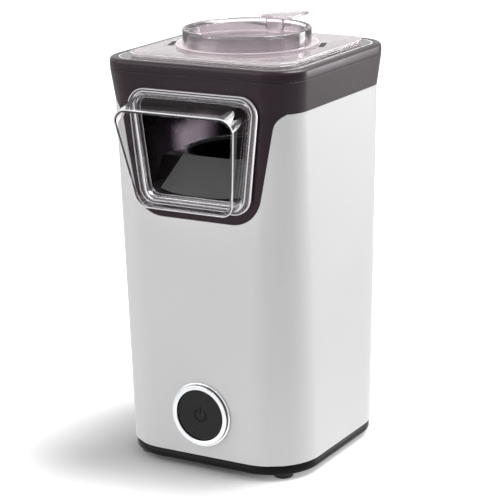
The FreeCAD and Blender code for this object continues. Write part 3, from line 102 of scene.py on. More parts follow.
# Lines of the collar's surface: steps along its outlines, and how far below the outlet's top they would meet
COLLAR_STEP = 1.5
OUTLET_STEP = 0.5
LINES_MEET_BELOW = 18.0

# Popcorn outlet and visor
OUTLET_ABOVE_CASING = 6.4
OUTLET_HEIGHT = 70.6
OUTLET_TOP = CASING_TOP + OUTLET_ABOVE_CASING
OUTLET_LOW = OUTLET_TOP - OUTLET_HEIGHT
OUTLET_HALF_HIGH = 46.6
OUTLET_HALF_LOW = 37.7
OUTLET_CORNER = 10.0
FLANGE_MARGIN = 5.0
FLANGE_CORNER = 13.0
FLANGE_THICKNESS = 2.2
VISOR_WALL = 2.2
VISOR_REACH = 27.5
VISOR_REACH_LOW = 13.5
VISOR_FRONT = AXIS_Y - visor_low[1]
SEAT = VISOR_FRONT - VISOR_REACH
SPIGOT_END = CASING_HALF_HIGH - CASING_WALL
FIT = 0.3

# The hood's outline at the seat stands off the outlet by a margin, and changes by a drift up to its front
HOOD_MARGIN_TOP = 3.5
HOOD_MARGIN_LOW = 2.0
HOOD_MARGIN_SIDE = 1.0
HOOD_DRIFT_TOP = -8.5
HOOD_DRIFT_LOW = -3.8
HOOD_DRIFT_HALF_HIGH = 0.3
HOOD_DRIFT_HALF_LOW = -2.7
VISOR_EDGE = 0.4
EDGE_BEAD = 0.6

# The visor's seat on the collar, and its clips and their slots: half sizes, and reaches from the seat
SEAT_DEPTH = 2.0
SEAT_RELIEF = 0.05
SEAT_EDGE = 0.3
CLIP_HALF = (4.0, 0.7)
CLIP_REACH = (-3.3, 0.3)
CLIP_SLOT_HALF = (4.5, 1.2)
CLIP_SLOT_REACH = (-1.0, 0.04)
CLIP_X_HIGH = 28.0
CLIP_X_LOW = 23.0
CLIP_CORNER = 0.3
CLIP_CENTRE_SHARE = 0.02

# Button and its ring
BUTTON_Z = (ring_low[2] + ring_high[2]) / 2
RING_OUTER = ring_high[0]
RING_FACE = AXIS_Y - ring_low[1]
RING_PROUD = 3.4
BUTTON_RADIUS = button_high[0]
CAP_FRONT = AXIS_Y - button_low[1]
RING_LIP = 2.2
RING_TUBE = RING_OUTER - RING_LIP
MARK_RADII = (3.9, 5.0)
MARK_GAP_ANGLE = 35.0
MARK_BAR_HALF = 0.55
MARK_BAR_SPAN = (1.0, 6.0)
MARK_PROUD = 0.06
MARK_DEPTH = 0.2

# Lid and rim: the recess that the lid lies in, and half of each straight side of their outlines
LID_RECESS = 2.4
LID_SEAT = RIM_TOP - LID_RECESS
RIM_OPENING = 60.0
RIM_OPENING_FLAT = 48.0
PLATEAU_FLAT = 47.5
LID_FLAT = 50.7
LID_ROUND_LIMIT = 50.0

# Mesh steps and tolerances
CORNER_STEPS = 24
MERGE_REACH = 0.002
BEVEL_ANGLE = 40.0
BEVEL_SEGMENTS = 3
ROUND_COLUMNS = 128

# Camera: its angles in degrees, and its aim about the tower's axis
CAMERA_AZIMUTH = 30.03
CAMERA_ELEVATION = 15.494
CAMERA_ROLL = -1.0447
CAMERA_LENS = 139.38
CAMERA_SENSOR = 36.0
CAMERA_DISTANCE = 1381.8
TARGET_LEVEL = 143.1
TARGET_LEFT = 0.65

# Floor and world: lengths in metres, and the strength of their own light
FLOOR_HALF = 6.0
FLOOR_POINTS = 5
FLOOR_LIFT = (0.02, 0.9)
FLOOR_LIFT_REACH = (0.003, 0.125)
FLOOR_DARK_CENTRE = (-0.03, 0.008, 0.0)
FLOOR_DARK_HALF = (0.04, 0.07, 0.0)
FLOOR_MIRROR_LIFT = 0.6
FLOOR_MIRROR_REACH = (0.08, 0.42)
WORLD_FILL = 0.32


# Mesh making

def srgb(hex_text):
    """A colour written as sRGB hex, as linear red, green, blue and alpha."""
    value = np.array([int(hex_text[place:place + 2], 16) for place in (0, 2, 4)]) / 255
    linear = np.where(value <= 0.04045, value / 12.92, ((value + 0.055) / 1.055) ** 2.4)
    return (*linear.tolist(), 1.0)


def placed(name, data):
    """An object of a mesh, a lamp or a camera, put in the scene."""
    item = bpy.data.objects.new(name, data)
    bpy.context.scene.collection.objects.link(item)
    return item


def piece(name, points, faces, body, slot, finish, replaced=(), sharp=35.0):
    """A mesh object from arrays of points in millimetres and faces, riding on a body."""
    mesh = bpy.data.meshes.new(name)
    mesh.from_pydata((np.asarray(points) * MM).tolist(), [], faces.tolist())
    clean(mesh, sharp)
    item = placed(name, mesh)
    mesh.materials.append(finish)
    item.visible_shadow = slot != "clear_plastic"
    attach(item, body)
    if replaced:
        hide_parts(*replaced)
    return item


def clean(mesh, sharp):
    """Merge doubled points, point the faces outwards, and shade smooth up to an angle."""
    work = bmesh.new()
    work.from_mesh(mesh)
    bmesh.ops.remove_doubles(work, verts=work.verts, dist=MERGE_REACH * MM)
    bmesh.ops.recalc_face_normals(work, faces=work.faces)
    work.to_mesh(mesh)
    work.free()
    mesh.shade_smooth()
    mesh.set_sharp_from_angle(angle=math.radians(sharp))


def grid(rows, columns, wrap_rows, wrap_columns, start=0):
    """Quads over a grid of points that is numbered row by row, with either way closed on itself."""
    row = np.arange(rows if wrap_rows else rows - 1)[:, None]
    column = np.arange(columns if wrap_columns else columns - 1)[None, :]
    next_row = (row + 1) % rows
    next_column = (column + 1) % columns
    corners = [row * columns + column, row * columns + next_column,
               next_row * columns + next_column, next_row * columns + column]
    return start + np.stack(np.broadcast_arrays(*corners), -1).reshape(-1, 4)


def rounded(corners, steps, closed):
    """A path through corners (a, b, radius), each rounded by an arc of that radius with steps spans."""
    spots = np.array([corner[:2] for corner in corners], float)
    runs = []
    for place, (a, b, radius) in enumerate(corners):
        spot = np.array((a, b), float)
        if not closed and place in (0, len(corners) - 1) or radius == 0:
            runs.append(np.repeat(spot[None], steps + 1 if closed else 1, 0))
            continue
        before = spots[place - 1] - spot
        after = spots[(place + 1) % len(spots)] - spot
        before = before / np.linalg.norm(before)
        after = after / np.linalg.norm(after)
        half_angle = math.acos(np.clip(before @ after, -1, 1)) / 2
        middle = before + after
        centre = spot + middle / np.linalg.norm(middle) * radius / math.sin(half_angle)
        reach = radius / math.tan(half_angle)
        first = math.atan2(*(spot + before * reach - centre)[::-1])
        last = math.atan2(*(spot + after * reach - centre)[::-1])
        turn = (last - first + math.pi) % (2 * math.pi) - math.pi
        angle = first + turn * np.linspace(0, 1, steps + 1)
        runs.append(centre + radius * np.stack((np.cos(angle), np.sin(angle)), -1))
    return np.concatenate(runs)


def square_rings(half, flat, level):
    """Rounded squares about the axis: half is half the width and flat is half of each straight side.

    With flat at 0 the ring is a circle. Rings of every kind have the same number of points, so that they
    can be joined into one surface.
    """
    half, flat, level = (np.atleast_1d(np.asarray(value, float))[:, None] for value in (half, flat, level))
    turn = np.linspace(0, math.pi / 2, CORNER_STEPS + 1)
    angle = np.concatenate([turn + quarter * math.pi / 2 for quarter in range(4)])
    side_x = np.repeat([1, -1, -1, 1], CORNER_STEPS + 1)
    side_y = np.repeat([1, 1, -1, -1], CORNER_STEPS + 1)
    x = side_x * flat + (half - flat) * np.cos(angle)
    y = side_y * flat + (half - flat) * np.sin(angle) + AXIS_Y
    return np.stack(np.broadcast_arrays(x, y, level), -1)


def carried(profile, flat_of):
    """Points and faces of a closed profile (half, level) carried round the axis as rounded squares."""
    half, level = profile.T
    rings = square_rings(half, flat_of(half), level)
    rows, columns = rings.shape[:2]
    return rings.reshape(-1, 3), grid(rows, columns, True, True)


def turned(profile, centre, way, columns=ROUND_COLUMNS):
    """Points and faces of an open profile (radius, along) turned about a line through centre along way."""
    radius, along = profile.T
    way = np.asarray(way, float)
    across = np.array((1.0, 0.0, 0.0))
    other = np.cross(way, across)
    angle = np.linspace(0, 2 * math.pi, columns, endpoint=False)
    circle = np.cos(angle)[:, None] * across + np.sin(angle)[:, None] * other
    points = centre + radius[:, None, None] * circle + along[:, None, None] * way
    return points.reshape(-1, 3), grid(len(profile), columns, False, True)


# Outer shell of the tower

def shell_half(level):
    """Half the tower's width at a level: the casing's slow taper, then the collar's flare."""
    return np.interp(level, (CASING_LOW, CASING_TOP, SEAM), (CASING_HALF_LOW, CASING_HALF_HIGH, COLLAR_HALF))


def shell_corner(level):
    """The tower's corner radius at a level, larger towards the floor."""
    return np.interp(level, (CASING_LOW, CASING_TOP), (CASING_CORNER_LOW, CASING_CORNER_HIGH))


def front_y(x, level):
    """The tower's front surface at x and a level: flat, then round the corner."""
    flat = shell_half(level) - shell_corner(level)
    over = np.clip(np.abs(x) - flat, 0, shell_corner(level))
    return AXIS_Y - flat - np.sqrt(shell_corner(level) ** 2 - over ** 2)


def bib_path(grow):
    """Half of the bib's lower edge (x, level), from the middle out to the shoulder, grown evenly."""
    top = CASING_TOP + SHOULDER_LIFT
    low = CASING_TOP - BIB_HEIGHT - grow
    return rounded([
        (0, low, 0),
        (BIB_HALF_LOW + grow, low, BIB_CORNER + grow),
        (BIB_HALF_HIGH + grow, top, BIB_SHOULDER - grow),
        (BIB_HALF_HIGH + 3 * BIB_SHOULDER, top, 0),
    ], CORNER_STEPS, False)


def rest_of_shell(level, columns=20):
    """The tower's surface from the front's right edge round the back to its left edge, for rows of levels."""
    level = np.asarray(level, float)[:, None]
    half, corner = shell_half(level), shell_corner(level)
    flat = half - corner
    share = np.linspace(0, 1, columns)
    first = np.arcsin((FRONT_HALF - flat) / corner)
    angle = first + (math.pi / 2 - first) * share
    turn = math.pi / 2 * share
    inside = share[1:-1]
    x = np.concatenate((
        flat + corner * np.sin(angle),
        half + 0 * inside,
        flat + corner * np.cos(turn),
        flat * (1 - share[1:]),
    ), 1)
    y = np.concatenate((
        -flat - corner * np.cos(angle),
        flat * (2 * inside - 1),
        flat + corner * np.sin(turn),
        half + 0 * share[1:],
    ), 1)
    x = np.concatenate((x, -x[:, -2::-1]), 1)
    y = np.concatenate((y, y[:, -2::-1]), 1)
    return np.stack((x, y + AXIS_Y, np.broadcast_to(level, x.shape)), -1)


def thicken(item, wall, edge):
    """Give a sheet its wall, inwards, and round its edges."""
    solid = item.modifiers.new("wall", "SOLIDIFY")
    solid.thickness = wall * MM
    solid.offset = -1
    soften(item, edge)


def soften(item, edge):
    """Round the sharp edges of a piece by a small radius."""
    bevel = item.modifiers.new("edge", "BEVEL")
    bevel.width = edge * MM
    bevel.segments = BEVEL_SEGMENTS
    bevel.limit_method = "ANGLE"
    bevel.angle_limit = math.radians(BEVEL_ANGLE)
    bevel.harden_normals = True


def bored(sheet, rows, columns, centre, radius, surface):
    """Rings of points on a surface, from the edge of a block of a sheet in to a circle (x, level, radius)."""
    low, high = rows
    first, last = columns
    width = sheet.shape[1]
    loop = np.concatenate((
        low * width + np.arange(first, last),
        np.arange(low, high) * width + last,
        high * width + np.arange(last, first, -1),
        np.arange(high, low, -1) * width + first,
    ))
    edge = sheet.reshape(-1, 3)[loop][:, (0, 2)] - centre
    circle = radius * edge / np.linalg.norm(edge, axis=1)[:, None]
    share = np.array((0.0, 0.35, 0.7, 1.0))[:, None, None]
    x, level = np.moveaxis(centre + edge + (circle - edge) * share, -1, 0)
    return np.stack((x, surface(x, level), level), -1)


def make_casing(finish):
    """White casing: columns at fixed x on the front reach up to the bib's edge, and the rest runs round.

    Round holes for the button's ring and the cord's gland take the place of two blocks of the sheet.
    """
    patch, patch_steps, upper_steps = 26.0, 8, 11
    path = bib_path(PANEL_GAP)
    beyond = path[(path[:, 0] > patch) & (path[:, 0] < FRONT_HALF), 0]
    right = np.concatenate((np.linspace(0, patch, patch_steps + 1), beyond, [FRONT_HALF]))
    x = np.concatenate((-right[:0:-1], right))
    top = np.minimum(np.interp(np.abs(x), path[:, 0], path[:, 1]), CASING_TOP)
    middle_height = top.min() - CASING_LOW
    patch_share = (BUTTON_Z + np.array((-patch, patch)) - CASING_LOW) / middle_height
    beside_share = np.linspace(*patch_share, patch_steps + 1)
    upper_share = np.linspace(patch_share[1], 1, upper_steps + 1)
    share = np.concatenate(([0], beside_share, upper_share[1:]))
    level = CASING_LOW + share[:, None] * (top - CASING_LOW)
    front = np.stack((np.broadcast_to(x, level.shape), front_y(x, level), level), -1)
    back_level = CASING_LOW + share * (CASING_TOP - CASING_LOW)
    sheet = np.concatenate((front, rest_of_shell(back_level)[:, 1:-1]), 1)
    gland = (gland_low + gland_high) / 2
    gland_lip, hole_margin, side_margin = 1.0, 1.5, 2.0
    gland_radius = (gland_high - gland_low)[0] / 2 - gland_lip
    room = gland_radius + hole_margin
    back_rows = np.searchsorted(back_level, gland[2] + np.array((-room, room))) - (1, 0)
    behind = (sheet[0, :, 1] > AXIS_Y) & (np.abs(sheet[0, :, 0]) < room + side_margin)
    back_columns = np.flatnonzero(behind)[[0, -1]]
    holes = [
        ((1, 1 + patch_steps), np.searchsorted(x, (-patch, patch)), (0, BUTTON_Z), RING_TUBE, front_y),
        (back_rows, back_columns, (0, gland[2]), gland_radius, lambda x, level: AXIS_Y + shell_half(level)),
    ]
    faces = grid(*sheet.shape[:2], False, True)
    row, column = np.divmod(faces[:, 0], sheet.shape[1])
    kept = np.full(len(faces), True)
    points, patches = [sheet.reshape(-1, 3)], []
    for rows, columns, centre, radius, surface in holes:
        kept &= (row < rows[0]) | (row >= rows[1]) | (column < columns[0]) | (column >= columns[1])
        rings = bored(sheet, rows, columns, centre, radius, surface)
        patches.append(grid(*rings.shape[:2], False, True, start=sum(len(part) for part in points)))
        points.append(rings.reshape(-1, 3))
    item = piece("casing_shell", np.concatenate(points), np.concatenate((faces[kept], *patches)), "housing",
                 "casing_plastic", finish, ["outer_casing"])
    thicken(item, CASING_WALL, CASING_EDGE)


def outlet(grow, corner):
    """The popcorn outlet's outline (x, level), grown evenly."""
    return rounded([
        (-OUTLET_HALF_LOW - grow, OUTLET_LOW - grow, corner),
        (OUTLET_HALF_LOW + grow, OUTLET_LOW - grow, corner),
        (OUTLET_HALF_HIGH + grow, OUTLET_TOP + grow, corner),
        (-OUTLET_HALF_HIGH - grow, OUTLET_TOP + grow, corner),
    ], CORNER_STEPS, True)


def spaced(path, step):
    """Points along a path at about the same step, with the path's own points kept."""
    runs = []
    for start, end in zip(path[:-1], path[1:]):
        count = max(1, int(np.linalg.norm(end - start) / step))
        runs.append(start + (end - start) * np.linspace(0, 1, count, endpoint=False)[:, None])
    return np.concatenate(runs + [path[-1:]])


def make_collar(finish):
    """Black collar and bib: a fan of lines from the outlet out to the bib's edge, and the ring behind."""
    rows, fan_rows = 8, 7
    path = bib_path(0)
    edge = path[path[:, 0] < FRONT_HALF]
    edge = np.concatenate((edge, [(FRONT_HALF, CASING_TOP)]))
    edge[:, 1] = np.minimum(edge[:, 1], CASING_TOP)
    edge = spaced(edge, COLLAR_STEP)
    side = np.stack((np.full(rows, FRONT_HALF), np.linspace(CASING_TOP, SEAM, rows)), -1)
    top = spaced(np.array([(FRONT_HALF, SEAM), (0, SEAM)]), COLLAR_STEP)
    right = np.concatenate((edge, side[1:], top[1:]))
    outer = np.concatenate((right, right[-2:0:-1] * (-1, 1)))
    centre = np.array((0, OUTLET_TOP - LINES_MEET_BELOW))
    hole = outlet(0, OUTLET_CORNER)
    hole = spaced(np.concatenate((hole, hole[:1])), OUTLET_STEP) - centre
    hole_angle = np.arctan2(hole[:, 1], hole[:, 0])
    order = np.argsort(hole_angle)
    ray = outer - centre
    reach = np.interp(np.arctan2(ray[:, 1], ray[:, 0]), hole_angle[order],
                      np.linalg.norm(hole, axis=1)[order], period=2 * math.pi)
    inner = ray / np.linalg.norm(ray, axis=1)[:, None] * reach[:, None]
    share = np.linspace(0, 1, fan_rows)[:, None, None]
    fan = centre + inner + (ray - inner) * share
    fan_points = np.stack((fan[..., 0], front_y(fan[..., 0], fan[..., 1]), fan[..., 1]), -1)
    fan_faces = grid(*fan.shape[:2], False, True)
    rest = rest_of_shell(np.linspace(CASING_TOP, SEAM, rows))
    rest_faces = grid(*rest.shape[:2], False, False, start=fan_points[..., 0].size)
    item = piece("collar_shell", np.concatenate((fan_points.reshape(-1, 3), rest.reshape(-1, 3))),
                 np.concatenate((fan_faces, rest_faces)), "housing", "collar_plastic", finish,
                 ["top_collar"])
    thicken(item, COLLAR_WALL, COLLAR_EDGE)


def outlet_frame(name, stations, body, slot, finish, replaced=()):
    """A closed section carried round the outlet: each station is an outline and its distance to the front."""
    rings = [np.stack((line[:, 0], np.full(len(line), AXIS_Y) - distance, line[:, 1]), -1)
             for line, distance in stations]
    rings = np.stack(rings)
    return piece(name, rings.reshape(-1, 3), grid(*rings.shape[:2], True, True), body, slot, finish, replaced)


def make_seat(finish, slot_shade_finish):
    """Flat frame on the collar that the visor's flange lies on, with dark blocks at the slots that take its
    clips: painted shade where the openings are.
    """
    back = CASING_HALF_HIGH - SEAT_DEPTH
    face = SEAT - SEAT_RELIEF
    wide, narrow = outlet(FLANGE_MARGIN, FLANGE_CORNER), outlet(0, OUTLET_CORNER)
    item = outlet_frame("visor_seat", [(wide, back), (wide, face), (narrow, face), (narrow, back)],
                        "housing", "collar_plastic", finish)
    soften(item, SEAT_EDGE)
    slot_reach = [face + depth for depth in CLIP_SLOT_REACH]
    clip_blocks("clip_slot", CLIP_SLOT_HALF, slot_reach, "housing", "collar_plastic", slot_shade_finish)


def clip_blocks(name, half, reach, body, slot, finish):
    """Four small blocks behind the flange: half their width and height, and the distances they run over."""
    high, low = OUTLET_TOP + FLANGE_MARGIN / 2, OUTLET_LOW - FLANGE_MARGIN / 2
    places = {
        "high_left": (-CLIP_X_HIGH, high),
        "high_right": (CLIP_X_HIGH, high),
        "low_left": (-CLIP_X_LOW, low),
        "low_right": (CLIP_X_LOW, low),
    }
    back, front = reach
    for place, spot in places.items():
        corners = np.array(((-1, -1), (1, -1), (1, 1), (-1, 1))) * half + spot
        line = rounded([(*corner, CLIP_CORNER) for corner in corners], 4, True)
        small = spot + (line - spot) * CLIP_CENTRE_SHARE
        outlet_frame(name + "_" + place, [(small, back), (line, back), (line, front), (small, front)],
                     body, slot, finish)


def hood(distance, shrink):
    """The visor hood's outline at a distance in front of the seat, shrunk by its wall for the inside."""
    share = distance / VISOR_REACH
    top = OUTLET_TOP + HOOD_MARGIN_TOP + HOOD_DRIFT_TOP * share - shrink
    low = OUTLET_LOW - HOOD_MARGIN_LOW + HOOD_DRIFT_LOW * share + shrink
    high_half = OUTLET_HALF_HIGH + HOOD_MARGIN_SIDE + HOOD_DRIFT_HALF_HIGH * share - shrink
    low_half = OUTLET_HALF_LOW + HOOD_MARGIN_SIDE + HOOD_DRIFT_HALF_LOW * share - shrink
    corner = OUTLET_CORNER - shrink
    return rounded([(-low_half, low, corner), (low_half, low, corner),
                    (high_half, top, corner), (-high_half, top, corner)], CORNER_STEPS, True)


def make_visor(finish, edge_finish):
    """Clear hood: its outline runs straight from the flange to a front edge that leans back at the bottom.

    A fine bright bead of painted highlight follows each edge: a square section carried along the same
    outline.
    """
    front_top = OUTLET_TOP + HOOD_MARGIN_TOP + HOOD_DRIFT_TOP
    front_low = OUTLET_LOW - HOOD_MARGIN_LOW + HOOD_DRIFT_LOW
    lean = (VISOR_REACH - VISOR_REACH_LOW) / (front_top - front_low)

    def slanted(shrink):
        base, far = hood(0, shrink), hood(VISOR_REACH, shrink)
        climb = far[:, 1] - base[:, 1]
        share = (VISOR_REACH_LOW + lean * (base[:, 1] - front_low)) / (VISOR_REACH - lean * climb)
        return base + (far - base) * share[:, None], SEAT + share * VISOR_REACH

    flange = SEAT + FLANGE_THICKNESS
    wide = outlet(FLANGE_MARGIN, FLANGE_CORNER)
    plug = outlet(-FIT, OUTLET_CORNER - FIT)
    bore = outlet(-FIT - VISOR_WALL, OUTLET_CORNER - FIT - VISOR_WALL)
    item = outlet_frame("visor_hood", [
        (bore, SPIGOT_END),
        (plug, SPIGOT_END),
        (plug, SEAT),
        (wide, SEAT),
        (wide, flange),
        (hood(FLANGE_THICKNESS, 0), flange),
        slanted(0),
        slanted(VISOR_WALL),
        (hood(FLANGE_THICKNESS, VISOR_WALL), flange),
        (bore, flange),
    ], "visor", "clear_plastic", finish, ["chute_visor"])
    soften(item, VISOR_EDGE)
    clip_reach = [SEAT + depth for depth in CLIP_REACH]
    clip_blocks("visor_clip", CLIP_HALF, clip_reach, "visor", "clear_plastic", finish)
    lines = {
        "flange": (wide, outlet(FLANGE_MARGIN - EDGE_BEAD, FLANGE_CORNER - EDGE_BEAD), flange),
        "root": (hood(FLANGE_THICKNESS, -EDGE_BEAD), hood(FLANGE_THICKNESS, 0), flange + EDGE_BEAD / 2),
        "front": (slanted(0)[0], slanted(EDGE_BEAD)[0], slanted(0)[1]),
    }
    for name, (outside, inside, front) in lines.items():
        back = front - EDGE_BEAD
        stations = [(outside, back), (outside, front), (inside, front), (inside, back)]
        outlet_frame("visor_edge_" + name, stations, "visor", "clear_plastic", edge_finish)


def make_rim(finish):
    """Black frame above the seam: a groove, a rounded outer edge and the recess that the lid lies in."""
    groove, groove_depth = 0.7, 0.5
    neck = COLLAR_HALF - groove_depth
    recess = lid_high[0] + FIT
    profile = rounded([
        (neck, SEAM, 0.1),
        (neck, SEAM + groove, 0.1),
        (COLLAR_HALF, SEAM + groove, 0.4),
        (COLLAR_HALF, RIM_TOP, 2.4),
        (recess, RIM_TOP, 0.5),
        (recess, LID_SEAT, 0.3),
        (RIM_OPENING, LID_SEAT, 0.6),
        (RIM_OPENING, SEAM, 0.3),
    ], 6, True)

    def flat_of(half):
        flats = (RIM_OPENING_FLAT, LID_FLAT, COLLAR_HALF - CASING_CORNER_HIGH)
        return np.interp(half, (RIM_OPENING, recess, COLLAR_HALF), flats)

    piece("rim_frame", *carried(profile, flat_of), "housing", "collar_plastic", finish, ["top_rim"])


def make_lid(finish, ring_finish, edge_finish, slot_shade_finish):
    """Clear lid in closed sections carried round the axis: plateau, flange, ring, foot and bright edges of
    painted highlight.
    """
    seat, wall, plateau, rise = LID_SEAT, 2.2, 62.5, 5.4
    top = seat + rise
    ring, ring_wall, ledge, ledge_thick = 44.85, 2.25, 5.0, 2.0
    port = ring - ring_wall - ledge
    plate = rounded([
        (plateau, seat, 0.1),
        (plateau, top, 1.6),
        (ring, top, 0.1),
        (ring, top - wall, 0.1),
        (plateau - wall, top - wall, 0.8),
        (plateau - wall, seat, 0.4),
    ], 6, True)

    def flat_of(half):
        flat = np.interp(half, (plateau, lid_high[0]), (PLATEAU_FLAT, LID_FLAT))
        return np.where(half < LID_ROUND_LIMIT, 0, flat)

    piece("lid_plate", *carried(plate, flat_of), "lid", "clear_plastic", finish, ["lid"])
    foot, step, proud, corner = 49.6, 1.4, 0.1, 0.04
    plateau_line = (1.3, 0.6)
    far, sheet_top = lid_high[0], seat + wall
    sections = {
        "flange": (plateau, far, seat, sheet_top, ring_finish),
        "foot": (ring, foot, top, top + step, finish),
        "foot_edge": (foot - EDGE_BEAD, foot, top + step, top + step + proud, edge_finish),
        "plateau_edge": (plateau - EDGE_BEAD, plateau + proud, top - plateau_line[0], top - plateau_line[1],
                         edge_finish),
        "flange_edge": (far - EDGE_BEAD, far, sheet_top - EDGE_BEAD, sheet_top, edge_finish),
    }
    for name, (inside, outside, low, high, section_finish) in sections.items():
        spots = ((inside, low), (outside, low), (outside, high), (inside, high))
        section = rounded([(*spot, corner) for spot in spots], 3, True)
        piece("lid_" + name, *carried(section, flat_of), "lid", "clear_plastic", section_finish)
    holder = rounded([
        (port, lid_low[2], 0.4),
        (ring, lid_low[2], 0.5),
        (ring, lid_high[2], 0.9),
        (ring - ring_wall, lid_high[2], 0.9),
        (ring - ring_wall, lid_low[2] + ledge_thick, 0.4),
        (port, lid_low[2] + ledge_thick, 0.4),
    ], 6, True)
    points, faces = carried(holder, lambda half: 0 * half)
    piece("lid_ring", points, faces, "lid", "clear_plastic", ring_finish)
    # The two slots in the plate are dark plates set into its top: painted shade where the openings are
    radius, long, wide, slot_corner, slot_edge = 52.8, 8.5, 2.0, 1.4, 0.02
    slot_low, slot_high = top - wall + 0.3, top + 0.05
    for name, angle in (("right", 20.0), ("left", 200.0)):
        turn = math.radians(angle)
        outward = np.array((math.cos(turn), math.sin(turn)))
        beside = np.array((-outward[1], outward[0]))
        corners = [(*(outward * (radius + a * wide) + beside * b * long), slot_corner)
                   for a, b in ((-1, -1), (1, -1), (1, 1), (-1, 1))]
        piece("lid_slot_shade_" + name, *plate_stack(corners, slot_low, slot_high, slot_edge), "lid",
              "clear_plastic", slot_shade_finish)


def make_cup(finish, tab_finish):
    """Clear measuring cup turned about the axis, and the tab that reaches over the lid's ring."""
    below_ring, wall, high, low = 2.5, 1.8, 42.3, 40.6
    floor, rim = cup_low[2], lid_high[2] - below_ring
    profile = rounded([
        (0, floor, 0),
        (low, floor, 1.8),
        (high, rim, 0.6),
        (high - wall, rim, 0.6),
        (low - wall, floor + wall, 2.2),
        (0, floor + wall, 0),
    ], 6, False)
    points, faces = turned(profile, np.array((0, AXIS_Y, 0)), (0, 0, 1))
    piece("cup_bowl", points, faces, "cup", "clear_plastic", finish, ["measuring_cup"])
    half, tip, root, thick = 13.0, 73.5, high - 2 * wall, 2.4
    plate = [(-half, root, 2.0), (half, root, 2.0), (half, tip, 9.0), (-half, tip, 9.0)]
    tab = plate_stack(plate, cup_high[2] - thick, cup_high[2], 0.8)
    piece("cup_tab", *tab, "cup", "clear_plastic", tab_finish)
    neck_half, neck_out, neck_depth, corner = 7.0, high - 0.7, 10.0, 0.6
    spots = ((-neck_half, root), (neck_half, root), (neck_half, neck_out), (-neck_half, neck_out))
    neck = [(*spot, corner) for spot in spots]
    stem = plate_stack(neck, lid_high[2] - neck_depth, cup_high[2] - thick, 0.3)
    piece("cup_tab_neck", *stem, "cup", "clear_plastic", finish)


def plate_stack(corners, low, high, edge):
    """A flat plate with an outline about the axis and rounded edges: the outline drawn in at each level."""
    turn = np.linspace(0, math.pi / 2, 5)
    inset = np.concatenate((edge * (1 - np.sin(turn)), edge * (1 - np.cos(turn))))
    level = np.concatenate((low + edge * (1 - np.cos(turn)), high - edge * (1 - np.sin(turn))))
    line = rounded(corners, 8, True)
    middle = line.mean(0)
    size = np.abs(line - middle).max(0)
    rings = middle + (line - middle)[None] * (1 - inset[:, None, None] / size)
    rings = np.concatenate((np.repeat(middle[None, None], len(line), 1), rings,
                            np.repeat(middle[None, None], len(line), 1)))
    level = np.concatenate(([low], level, [high]))
    x, y = np.moveaxis(rings + (0, AXIS_Y), -1, 0)
    points = np.stack(np.broadcast_arrays(x, y, level[:, None]), -1)
    return points.reshape(-1, 3), grid(*rings.shape[:2], False, True)


def make_button(ring_finish, gap_shade_finish, cap_finish, mark_finish):
    """Chrome ring, a thin black band of painted shade in the gap round it, and black cap, all turned, with a
    power mark on the cap.
    """
    centre, out = np.array((0, AXIS_Y, BUTTON_Z)), (0, -1, 0)
    face, inner = RING_FACE - RING_PROUD, BUTTON_RADIUS + FIT
    wall, flange = RING_OUTER - 1.5, RING_FACE - 1.9
    tube_depth, bore_depth = 2.0, 10.0
    ring = rounded([
        (RING_TUBE, face - tube_depth, 0),
        (RING_TUBE, face, 0.1),
        (RING_OUTER, face, 0.3),
        (RING_OUTER, flange, 0.8),
        (wall, flange, 0.2),
        (wall, RING_FACE, 0.5),
        (inner, RING_FACE, 0.7),
        (inner, face - bore_depth, 0),
    ], 10, False)
    piece("button_bezel", *turned(ring, centre, out), "housing", "chrome_ring", ring_finish, ["button_ring"])
    # A thin black band in the gap behind the ring's face: painted shade, where the ring's side wall lies in
    # shadow
    gap_shade_in, gap_shade_out = wall - 0.1, wall + 0.12
    gap_shade_back, gap_shade_front = flange - 0.1, RING_FACE - 0.7
    gap_shade = rounded([
        (gap_shade_in, gap_shade_back, 0),
        (gap_shade_out, gap_shade_back, 0.05),
        (gap_shade_out, gap_shade_front, 0.05),
        (gap_shade_in, gap_shade_front, 0),
    ], 3, False)
    piece("button_gap_shade", *turned(gap_shade, centre, out), "housing", "gland_plastic", gap_shade_finish)
    dish, dish_radius = 0.35, BUTTON_RADIUS - 0.8
    radius = np.linspace(dish_radius, 0, 12)
    hollow = np.stack((radius, CAP_FRONT - dish * (1 - (radius / radius[0]) ** 2)), -1)
    stem, stem_end, back = 3.5, AXIS_Y - button_high[1], CAP_FRONT - 4.0
    edge = rounded([
        (0, stem_end, 0),
        (stem, stem_end, 0.2),
        (stem, back, 0.2),
        (BUTTON_RADIUS, back, 0.3),
        (BUTTON_RADIUS, CAP_FRONT, 0.65),
        (dish_radius, CAP_FRONT, 0),
    ], 8, False)
    piece("button_cap", *turned(np.concatenate((edge, hollow[1:])), centre, out),
          "button", "button_plastic", cap_finish, ["power_button"])
    mark_face, mark_back = CAP_FRONT - dish + MARK_PROUD, CAP_FRONT - dish - MARK_DEPTH
    sweep = np.radians(90 + np.linspace(MARK_GAP_ANGLE, 360 - MARK_GAP_ANGLE, 49))
    arc = np.stack((np.cos(sweep), np.sin(sweep)), -1)
    upright = np.linspace(*MARK_BAR_SPAN, 9)
    sides = [np.stack((np.full(9, x), upright), -1) for x in (MARK_BAR_HALF, -MARK_BAR_HALF)]
    marks = {"mark_arc": [arc * radius for radius in MARK_RADII], "mark_bar": sides}
    for name, (one, two) in marks.items():
        section = ((one, mark_face), (two, mark_face), (two, mark_back), (one, mark_back))
        points = np.stack([np.insert(line, 1, AXIS_Y - distance, axis=1) + (0, 0, BUTTON_Z)
                           for line, distance in section])
        piece("button_" + name, points.reshape(-1, 3), grid(4, len(one), True, False),
              "button", "button_plastic", mark_finish)


